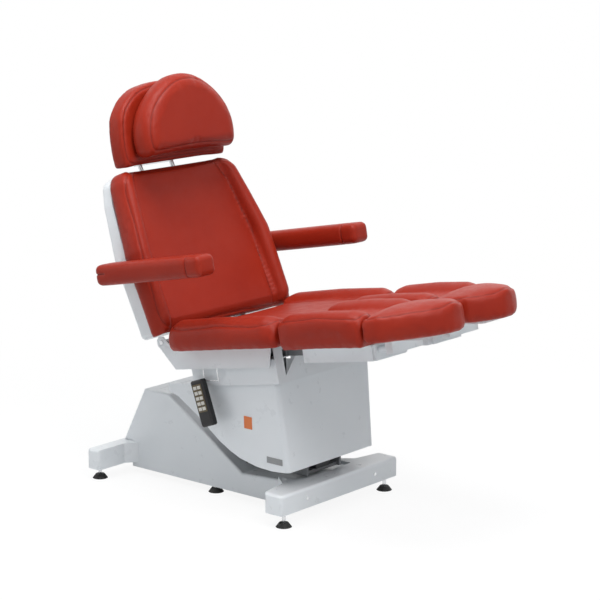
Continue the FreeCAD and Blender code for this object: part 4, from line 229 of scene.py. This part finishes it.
def leather_paint(name, main, pore_and_shade_tone, warm):
    """Leather with pores and creases, and painted shade that darkens its seam furrows."""
    paint = Paint(name)
    pores = paint.cells(scale=820.0, feature="DISTANCE_TO_EDGE")
    creases = paint.noise(scale=26.0, detail=4.0, roughness=0.55)
    grain = paint.noise(scale=300.0)
    tone = paint.patches(
        main, warm, paint.noise(scale=6.0, detail=4.0, roughness=0.6), start=0.35, end=0.68)
    pored = paint.blend(paint.span(pores, low=0.35, high=0.0, start=0.0, end=0.22), tone, pore_and_shade_tone)
    # The seam attribute darkens the leather towards the deeper tone in the seam furrows: painted shade
    seam = paint.add("Attribute", attribute_name="seam").outputs["Fac"]
    paint.shade(Base_Color=paint.blend(seam, pored, pore_and_shade_tone), Specular_IOR_Level=0.21)
    paint.rough(paint.noise(scale=38.0, detail=5.0, roughness=0.6), (0.36, 0.50))
    height = paint.sum(paint.sum(pores, creases, share=2.6), grain, share=0.35)
    paint.bump(height, distance=0.0006, strength=0.42)
    return paint.material


def enamel_paint(name, main, second, roughness=(0.26, 0.36)):
    """Smooth sprayed enamel on sheet steel, slightly uneven in tone and gloss."""
    paint = Paint(name)
    tone = paint.noise(scale=3.5, detail=4.0, roughness=0.6)
    paint.shade(
        Base_Color=paint.patches(main, second, tone, start=0.35),
        Specular_IOR_Level=0.5, Coat_Weight=0.25, Coat_Roughness=0.12)
    paint.rough(paint.noise(scale=22.0, detail=5.0, roughness=0.6), roughness)
    return paint.material


def grained_paint(name, main, second, roughness, grain):
    """Powder coat, rubber or plastic with a fine grain of the given scale."""
    paint = Paint(name)
    tone = paint.noise(scale=14.0, detail=5.0, roughness=0.65)
    paint.shade(
        Base_Color=paint.patches(main, second, tone, end=0.75), Specular_IOR_Level=0.4)
    paint.rough(paint.noise(scale=60.0, detail=4.0), roughness)
    height = paint.sum(paint.noise(scale=grain, detail=2.0), paint.cells(grain * 0.6), share=0.5)
    paint.bump(height, distance=0.0003, strength=0.3)
    return paint.material


def steel_paint(name, main, second, roughness):
    """Turned and polished steel with fine lines across its length."""
    paint = Paint(name)
    stretched = paint.add("Mapping", {"Scale": (0.08, 1.0, 1.0), "Vector": paint.place})
    lines = paint.noise(
        scale=900.0, detail=3.0, roughness=0.6, vector=stretched.outputs["Vector"])
    paint.shade(
        Base_Color=paint.patches(main, second, paint.noise(scale=30.0, detail=4.0)),
        Metallic=1.0)
    paint.rough(lines, roughness)
    paint.bump(lines, distance=0.0001, strength=0.12)
    return paint.material


LEATHER = leather_paint(
    "red_leather", main=(0.330, 0.0190, 0.0060), pore_and_shade_tone=(0.110, 0.006, 0.003),
    warm=(0.370, 0.0250, 0.0090))
THREAD = grained_paint(
    "red_thread", (0.20, 0.018, 0.012), (0.30, 0.028, 0.018), (0.60, 0.75), grain=1500.0)

# The paint of each material slot in the record
SLOT_PAINT = {
    "upholstery": LEATHER,
    "white_paint": enamel_paint("white_enamel", (0.79, 0.82, 0.845), (0.82, 0.845, 0.865)),
    "dark_frame": grained_paint(
        "dark_powder_coat", (0.190, 0.196, 0.204), (0.235, 0.242, 0.250), (0.42, 0.58), 700.0),
    "steel": steel_paint(
        "bright_steel", (0.62, 0.63, 0.65), (0.72, 0.73, 0.74), (0.18, 0.34)),
    "black_rubber": grained_paint(
        "black_rubber", (0.012, 0.012, 0.012), (0.028, 0.027, 0.026), (0.55, 0.72), 500.0),
    "drive_case": grained_paint(
        "drive_case_plastic", (0.028, 0.029, 0.032), (0.045, 0.046, 0.050), (0.40, 0.52), 900.0),
    "black_plastic": grained_paint(
        "black_plastic", (0.005, 0.005, 0.006), (0.011, 0.011, 0.012), (0.34, 0.46), 1100.0),
    "bezel": grained_paint(
        "keypad_frame_plastic", (0.090, 0.066, 0.030), (0.130, 0.098, 0.048), (0.32, 0.44),
        1300.0),
    "key": grained_paint(
        "key_plastic", (0.62, 0.60, 0.55), (0.70, 0.68, 0.63), (0.38, 0.48), 1300.0),
    "plate": grained_paint(
        "blank_plate", (0.27, 0.275, 0.28), (0.34, 0.345, 0.35), (0.40, 0.52), 900.0),
    "patch": enamel_paint("orange_patch", (0.72, 0.16, 0.022), (0.78, 0.20, 0.030), (0.34, 0.46)),
}


# The CAD nodes

WELD_GAP = 0.00002
# The rounding of an edge, at most a share of the node's least size, where faces meet at
# more than the angle
EDGE_WIDTH = 0.0011
EDGE_WIDTH_SHARE = 0.06
EDGE_DEGREES = 32


def repaint(mesh, material):
    mesh.materials.clear()
    mesh.materials.append(material)


def dress_frame():
    """Gives each CAD node the paint of its material slot, and slightly rounded edges."""
    for entry in frame["record"]["subparts"]:
        node = frame["nodes"][entry["node"]]
        repaint(node.data, SLOT_PAINT[entry["material_slot"]])
        low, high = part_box(entry["node"])
        with_values(node.modifiers.new("weld", "WELD"), merge_threshold=WELD_GAP)
        with_values(
            node.modifiers.new("bevel", "BEVEL"),
            width=min(EDGE_WIDTH, min(high - low) * EDGE_WIDTH_SHARE), segments=2,
            limit_method="ANGLE", angle_limit=math.radians(EDGE_DEGREES))


dress_frame()


# Meshes

TINY = 1e-9


def triples(items, key):
    values = np.empty(len(items) * 3)
    items.foreach_get(key, values)
    return values.reshape(-1, 3)


def mesh_points(mesh):
    return triples(mesh.vertices, "co")


def mesh_normals(mesh):
    return triples(mesh.vertex_normals, "vector")


def set_points(mesh, points):
    mesh.vertices.foreach_set("co", np.ascontiguousarray(points, np.float32).ravel())
    mesh.update()


def push_out(mesh, distance):
    set_points(mesh, mesh_points(mesh) + mesh_normals(mesh) * distance)


def lengths(vectors):
    """The vectors' lengths as a column, never quite zero."""
    return np.maximum(np.linalg.norm(vectors, axis=1, keepdims=True), TINY)


def shade_smooth(mesh):
    mesh.polygons.foreach_set("use_smooth", [True] * len(mesh.polygons))


def settle(obj):
    """Replaces the object's mesh by what its modifiers make of it."""
    graph = bpy.context.evaluated_depsgraph_get()
    mesh = bpy.data.meshes.new_from_object(obj.evaluated_get(graph))
    obj.modifiers.clear()
    obj.data = mesh


def tree_of(mesh):
    return BVHTree.FromPolygons(
        [v.co for v in mesh.vertices], [tuple(p.vertices) for p in mesh.polygons])


# Covers

SMOOTHING = 0.5
SOFTENING_PASSES = 2

FILL_FRAMES = 20
FILL_PRESSURE = 4.0
CLOTH_QUALITY = 5

# The share of its depth that a point inside the solid keeps
KEPT_DEPTH = 0.42
CLOSE_ENOUGH = 1e-5


def welded_copy(node):
    work = bmesh.new()
    work.from_mesh(frame["nodes"][node].data)
    bmesh.ops.remove_doubles(work, verts=work.verts, dist=WELD_GAP)
    bmesh.ops.recalc_face_normals(work, faces=work.faces)
    mesh = bpy.data.meshes.new(node + "_blank")
    work.to_mesh(mesh)
    work.free()
    return mesh


def fill(obj, cap):
    """Inflates the cover as cloth over its filling, and caps how far any point moves."""
    start = mesh_points(obj.data)
    cloth = obj.modifiers.new("fill", "CLOTH")
    with_values(
        cloth.settings, use_pressure=True, uniform_pressure_force=FILL_PRESSURE,
        quality=CLOTH_QUALITY)
    cloth.settings.effector_weights.gravity = 0.0
    cloth.collision_settings.use_collision = False
    cloth.point_cache.frame_end = FILL_FRAMES
    for step in range(1, FILL_FRAMES + 1):
        SCENE.frame_set(step)
    settle(obj)
    moved = mesh_points(obj.data) - start
    set_points(obj.data, start + moved * np.minimum(1.0, cap / lengths(moved)))
    SCENE.frame_set(1)


def drawn_taut(points, tree, stand):
    """Draws a cover to the CAD solid's surface, or to the height of stand over it.

    Points inside the solid keep a share of their depth, which leaves the folds and the rounding.
    """
    for index, point in enumerate(points):
        near, normal, _, away = tree.find_nearest(Vector(point))
        inside = (Vector(point) - near).dot(normal) < 0
        way = (near - Vector(point)) if inside else (Vector(point) - near)
        way = way.normalized() if away > CLOSE_ENOUGH else normal
        points[index] = near + way * (stand - away * KEPT_DEPTH if inside else stand)
    return points


def cushion(node, name, voxel=0.006, draw=0.003, cap=0.008, ease=3, stand=0.0015):
    """A padded cover in the space of one soft CAD node.

    The node's solid is remeshed in steps of voxel, smoothed ease times, drawn in by draw and
    filled, by which no point moves more than cap. The cover is drawn taut at the end, at the
    height of stand over the solid.
    """
    blank = welded_copy(node)
    tree = tree_of(blank)
    obj = new_object(name, blank)
    with_values(obj.modifiers.new("remesh", "REMESH"), mode="VOXEL", voxel_size=voxel)
    with_values(obj.modifiers.new("smooth", "SMOOTH"), factor=SMOOTHING, iterations=ease)
    settle(obj)
    push_out(obj.data, -draw)
    fill(obj, cap)
    set_points(obj.data, drawn_taut(mesh_points(obj.data), tree, stand))
    with_values(
        obj.modifiers.new("soften", "SMOOTH"), factor=SMOOTHING, iterations=SOFTENING_PASSES)
    with_values(obj.modifiers.new("subdivision", "SUBSURF"), levels=1, render_levels=1)
    settle(obj)
    return obj


def mirrored(obj, name):
    """The same cushion on the chair's other side."""
    mesh = obj.data.copy()
    points = mesh_points(mesh)
    points[:, 1] *= -1
    set_points(mesh, points)
    mesh.flip_normals()
    return new_object(name, mesh)


# Seams: each is a list of rays that meet the cushion along it, and whether it closes on itself

SEAM_DEPTH = 0.0022
SEAM_WIDTH = 0.0045
# Width of the painted shade that darkens each seam furrow
SEAM_SHADE_WIDTH = 0.0014
SEAM_STEP = 0.002
# A furrow's reach in widths, and a distance beyond every furrow
SEAM_REACH = 4
FAR = 1.0
# Points that are measured against a line at a time
BATCH = 4000

# Rays of a straight seam, of a ring seam and of a seam round a long pad
LINE_RAYS = 90
RING_RAYS = 120
BAND_RAYS = 72
# Passes that smooth a ring seam, and how far from a long pad's middle its rays start
RING_PASSES = 4
BAND_REACH = 0.15

STITCH_LENGTH = 0.0036
STITCH_PITCH = 0.0058
STITCH_RADIUS = 0.00055
STITCH_SIDES = 5
# Place of each ring of a stitch along it, with its share of the thread's radius
STITCH_RINGS = ((-0.5, 0.35), (-0.3, 1.0), (0.3, 1.0), (0.5, 0.35))
STITCH_END_DROP = 0.9
# The least share of the pitch between two points that still takes a stitch
LEAST_STITCH = 0.5


def seam_line(tree, rays):
    """Points and normals on a cushion where the given rays first meet it."""
    points, normals = [], []
    for start, way in rays:
        hit, normal, _, _ = tree.ray_cast(Vector(start), Vector(way))
        if hit is not None:
            points.append(np.array(hit))
            normals.append(np.array(normal))
    return np.array(points), np.array(normals)


def even_steps(points, normals, step, closed):
    if closed:
        points = np.vstack((points, points[:1]))
        normals = np.vstack((normals, normals[:1]))
    along = np.concatenate(([0.0], np.cumsum(np.linalg.norm(np.diff(points, axis=0), axis=1))))
    places = np.arange(0.0, along[-1], step)
    even = np.stack([np.interp(places, along, points[:, k]) for k in range(3)], axis=1)
    facing = np.stack([np.interp(places, along, normals[:, k]) for k in range(3)], axis=1)
    return even, facing / lengths(facing)


def sink_seams(obj, lines, depth, width):
    """Presses a rounded furrow along each line and marks it for the leather's painted shade."""
    points = mesh_points(obj.data)
    nearest = np.full(len(points), FAR)
    for line in lines:
        low = line.min(axis=0) - width * SEAM_REACH
        high = line.max(axis=0) + width * SEAM_REACH
        inside = np.nonzero(np.all((points > low) & (points < high), axis=1))[0]
        for start in range(0, len(inside), BATCH):
            part = inside[start:start + BATCH]
            gap = np.linalg.norm(points[part][:, None, :] - line[None, :, :], axis=2).min(axis=1)
            nearest[part] = np.minimum(nearest[part], gap)
    push_out(obj.data, -(depth * np.exp(-(nearest / width) ** 2))[:, None])
    # The seam attribute holds painted shade, strongest on each seam line
    seam = obj.data.attributes.new("seam", "FLOAT", "POINT")
    seam_shade = np.exp(-(nearest / SEAM_SHADE_WIDTH) ** 2)
    seam.data.foreach_set("value", seam_shade.astype(np.float32))


def add_stitch(work, middle, way, out):
    """One short thread, whose ends dip into the leather."""
    side = np.cross(out, way)
    rings = []
    for share, swell in STITCH_RINGS:
        ring = []
        drop = out * STITCH_RADIUS * (STITCH_END_DROP if swell < 1 else 0.0)
        for corner in range(STITCH_SIDES):
            turn = 2 * math.pi * corner / STITCH_SIDES
            spread = side * math.cos(turn) + out * math.sin(turn)
            at = middle + way * STITCH_LENGTH * share + spread * STITCH_RADIUS * swell - drop
            ring.append(work.verts.new(at))
        rings.append(ring)
    for first, second in zip(rings, rings[1:]):
        for corner in range(STITCH_SIDES):
            after = (corner + 1) % STITCH_SIDES
            work.faces.new((first[corner], first[after], second[after], second[corner]))
    work.faces.new(rings[0][::-1])
    work.faces.new(rings[-1])


def stitches(name, lines, facings, sink):
    """Short threads along each seam, sunk into its furrow."""
    work = bmesh.new()
    for line, facing in zip(lines, facings):
        for index in range(len(line) - 1):
            way = line[index + 1] - line[index]
            length = np.linalg.norm(way)
            if length > STITCH_PITCH * LEAST_STITCH:
                way /= length
                middle = line[index] + way * STITCH_PITCH / 2 - facing[index] * sink
                add_stitch(work, middle, way, facing[index])
    mesh = bpy.data.meshes.new(name)
    work.to_mesh(mesh)
    work.free()
    shade_smooth(mesh)
    mesh.materials.append(THREAD)
    return new_object(name, mesh)


def steps(low, high, count=LINE_RAYS):
    return [low + (high - low) * index / (count - 1) for index in range(count)]


def long_seams(obj, place, end, table):
    """Two seams along a cushion, with end left free at each of its ends.

    The table gives places along the cushion and the seams' distance from its middle there.
    """
    local = place.local(obj)
    low, high = local[:, 0].min() + end, local[:, 0].max() - end
    places, across = zip(*table)
    return [
        (place.rays([(at, side * np.interp(at, places, across)) for at in steps(low, high)]), False)
        for side in (-1, 1)]


def ring_seam(obj, place, inset):
    """A seam round a cushion's face, at an inset from the outline of the cushion."""
    plane = place.local(obj)[:, :2]
    middle = (plane.min(axis=0) + plane.max(axis=0)) / 2
    offset = plane - middle
    turns = np.arctan2(offset[:, 1], offset[:, 0])
    edge = np.zeros(RING_RAYS)
    bins = ((turns + math.pi) / (2 * math.pi) * RING_RAYS).astype(int) % RING_RAYS
    np.maximum.at(edge, bins, np.linalg.norm(offset, axis=1))
    angles = (np.arange(RING_RAYS) + 0.5) / RING_RAYS * 2 * math.pi - math.pi
    outline = middle + np.stack((np.cos(angles), np.sin(angles)), axis=1) * edge[:, None]
    way = np.roll(outline, -2, axis=0) - np.roll(outline, 2, axis=0)
    way /= np.linalg.norm(way, axis=1, keepdims=True)
    ring = outline + np.stack((-way[:, 1], way[:, 0]), axis=1) * inset
    for _ in range(RING_PASSES):
        ring = (np.roll(ring, 1, axis=0) + ring * 2 + np.roll(ring, -1, axis=0)) / 4
    return place.rays(ring), True


def band_seam(place, along, across, out):
    """A seam round a long pad, whose rays close in on one point from all round it."""
    centre = place.point(along, across, out)
    rays = []
    for index in range(BAND_RAYS):
        turn = 2 * math.pi * index / BAND_RAYS
        way = place.point(along, across + math.cos(turn), out + math.sin(turn)) - centre
        rays.append((centre + way * BAND_REACH, -way))
    return rays, True


def finish_cushion(obj, body, node, seams, depth=SEAM_DEPTH, width=SEAM_WIDTH):
    """Sinks the seams, sews them and hands the cushion over to its body."""
    lines, facings = [], []
    tree = tree_of(obj.data)
    for rays, closed in seams:
        even, facing = even_steps(*seam_line(tree, rays), STITCH_PITCH, closed)
        lines.append(even)
        facings.append(facing)
    dense = [even_steps(line, facing, SEAM_STEP, False)[0] for line, facing in zip(lines, facings)]
    sink_seams(obj, dense, depth, width)
    shade_smooth(obj.data)
    repaint(obj.data, LEATHER)
    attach(obj, body)
    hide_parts(node)
    thread = stitches(obj.name + "_stitching", lines, facings, depth)
    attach(thread, body)


# Cushions

# Places along the pad, with the long seams' distance from its middle there
SEAT_SEAMS = ((0.0, 0.206),)
BACK_SEAMS = ((0.0, 0.228), (0.27, 0.238), (0.45, 0.206), (0.53, 0.172))
# What the long seams leave free at their ends
SEAT_SEAM_END = 0.02
BACK_SEAM_END = 0.012
# Insets of the ring seams
SEAT_RING = 0.010
BACK_RING = 0.012
HEAD_RING = 0.011
PILLOW_RING = 0.017
LEG_RING = 0.010

ARM_CAP_LENGTH = 0.055
# Start and end of the rear seam, from the armrest's rear end
ARM_TAIL_SEAM = (0.002, 0.045)
ARM_TAIL_RAISE = 0.004
ARM_TAIL_RAYS = 24
BESIDE_ARM = 0.5
ARM_SEAM_DEPTH = 0.0035
ARM_SEAM_WIDTH = 0.0025


def seat():
    obj = cushion("seat_cushion", "seat_pad", voxel=0.007)
    seams = long_seams(obj, SEAT, SEAT_SEAM_END, SEAT_SEAMS)
    seams.append(ring_seam(obj, SEAT, SEAT_RING))
    finish_cushion(obj, "seat", "seat_cushion", seams)


def back():
    obj = cushion("back_cushion", "back_pad", voxel=0.007, stand=0.0)
    seams = long_seams(obj, BACK, BACK_SEAM_END, BACK_SEAMS)
    seams.append(ring_seam(obj, BACK, BACK_RING))
    finish_cushion(obj, "backrest", "back_cushion", seams)


def head():
    obj = cushion("headrest_cushion", "head_pad", cap=0.007, stand=-0.0005)
    seams = [ring_seam(obj, HEAD, HEAD_RING)]
    finish_cushion(obj, "headrest", "headrest_cushion", seams)


def pillow():
    obj = cushion("headrest_pillow", "pillow", draw=0.004, cap=0.010, stand=0.002)
    seams = [ring_seam(obj, HEAD, PILLOW_RING)]
    finish_cushion(obj, "headrest", "headrest_pillow", seams)


def leg_pair():
    calf = cushion("calf_cushion_right", "calf_pad_right")
    foot = cushion("foot_cushion_right", "foot_pad_right")
    pads = (
        (calf, "leg_right", "calf_cushion_right"),
        (mirrored(calf, "calf_pad_left"), "leg_left", "calf_cushion_left"),
        (foot, "foot_right", "foot_cushion_right"),
        (mirrored(foot, "foot_pad_left"), "foot_left", "foot_cushion_left"),
    )
    for obj, body, node in pads:
        finish_cushion(obj, body, node, [ring_seam(obj, LEG, LEG_RING)])


def armrests():
    """Each armrest has a seam round its front end, and a short one on its outer side behind."""
    right = cushion("armrest_right", "arm_pad_right", voxel=0.005, draw=0.002, cap=0.005, ease=2)
    left = mirrored(right, "arm_pad_left")
    for obj, side, sign in ((right, "right", -1), (left, "left", 1)):
        along, across, out = ARM.local(obj).T
        tail = [along.min() + distance for distance in ARM_TAIL_SEAM]
        rays = [
            (ARM.point(at, sign * BESIDE_ARM, out.mean() + ARM_TAIL_RAISE), (0, -sign, 0))
            for at in steps(*tail, ARM_TAIL_RAYS)]
        band = band_seam(ARM, along.max() - ARM_CAP_LENGTH, across.mean(), out.mean())
        finish_cushion(
            obj, "armrest_" + side, "armrest_" + side, [(rays, False), band],
            ARM_SEAM_DEPTH, ARM_SEAM_WIDTH)


seat()
back()
head()
pillow()
leg_pair()
armrests()


# Studio

WORLD_LIGHT = 0.38
FLOOR_GLOW = 0.90
FLOOR_TINT = 0.11
FLOOR_BOUNCE = (0.66, 0.67, 0.68)
FLOOR_SIZE = 12.0
FLOOR_DROP = 0.0005
# The chair's shadow fades between these distances from its middle
SHADOW_KEPT = 0.9
SHADOW_GONE = 2.4

MIDDLE = (0, 0, 0.6)
# Name, place, aim, diameter and power
LAMPS = (
    ("key", (3.0, -1.4, 3.9), MIDDLE, 2.2, 84),
    ("top", (0.1, -0.7, 4.4), MIDDLE, 2.4, 118),
    ("side", (-2.8, -3.0, 1.9), (-0.2, 0, 0.5), 1.6, 14),
    ("rear", (-0.8, 3.4, 3.0), MIDDLE, 2.2, 14),
)


def ray_flag(nodes):
    """One where the ray comes from the camera, a mirror or a lens."""
    path = nodes.add("LightPath")
    total = path.outputs["Is Camera Ray"]
    for name in ("Is Glossy Ray", "Is Transmission Ray"):
        total = nodes.add("Math", {0: total, 1: path.outputs[name]}, operation="MAXIMUM")
    return total


def studio_world():
    world = bpy.data.worlds.new("studio")
    SCENE.world = world
    nodes = Nodes(world)
    nodes.tree.nodes.clear()
    shown = nodes.add("Background", {"Color": (1, 1, 1)})
    lit = nodes.add("Background", {"Color": (0.93, 0.97, 1.0), "Strength": WORLD_LIGHT})
    mix = nodes.add("MixShader", {"Fac": ray_flag(nodes), 1: lit, 2: shown})
    nodes.add("OutputWorld", {"Surface": mix})


def floor_paint():
    material = bpy.data.materials.new("floor_white")
    nodes = Nodes(material)
    nodes.tree.nodes.clear()
    place = nodes.add("TexCoord").outputs["Object"]
    away = nodes.add("VectorMath", {0: place}, operation="LENGTH").outputs["Value"]
    fade = nodes.add(
        "MapRange", {"From Min": SHADOW_KEPT, "From Max": SHADOW_GONE, "Value": away},
        interpolation_type="SMOOTHSTEP")
    shaded = nodes.add("BsdfDiffuse", {"Color": (FLOOR_TINT, FLOOR_TINT, FLOOR_TINT)})
    glow = nodes.add("Emission", {"Strength": FLOOR_GLOW})
    near = nodes.add("AddShader", {0: shaded, 1: glow})
    far = nodes.add("Emission")
    shown = nodes.add("MixShader", {"Fac": fade, 1: near, 2: far})
    bounce = nodes.add("BsdfDiffuse", {"Color": FLOOR_BOUNCE})
    mix = nodes.add("MixShader", {"Fac": ray_flag(nodes), 1: bounce, 2: shown})
    nodes.add("OutputMaterial", {"Surface": mix})
    return material


def studio_floor():
    """A pale floor that keeps the chair's shadow and fades into the white backdrop."""
    mesh = bpy.data.meshes.new("floor")
    work = bmesh.new()
    bmesh.ops.create_grid(work, x_segments=8, y_segments=8, size=FLOOR_SIZE)
    work.to_mesh(mesh)
    work.free()
    mesh.materials.append(floor_paint())
    floor = new_object("floor", mesh)
    floor.location.z = -FLOOR_DROP


def lamp(name, place, aim, size, power):
    data = with_values(bpy.data.lights.new(name, "AREA"), shape="DISK", size=size, energy=power)
    with_values(new_object(name, data), location=place, rotation_euler=aimed(place, aim))


studio_world()
studio_floor()
for settings in LAMPS:
    lamp(*settings)
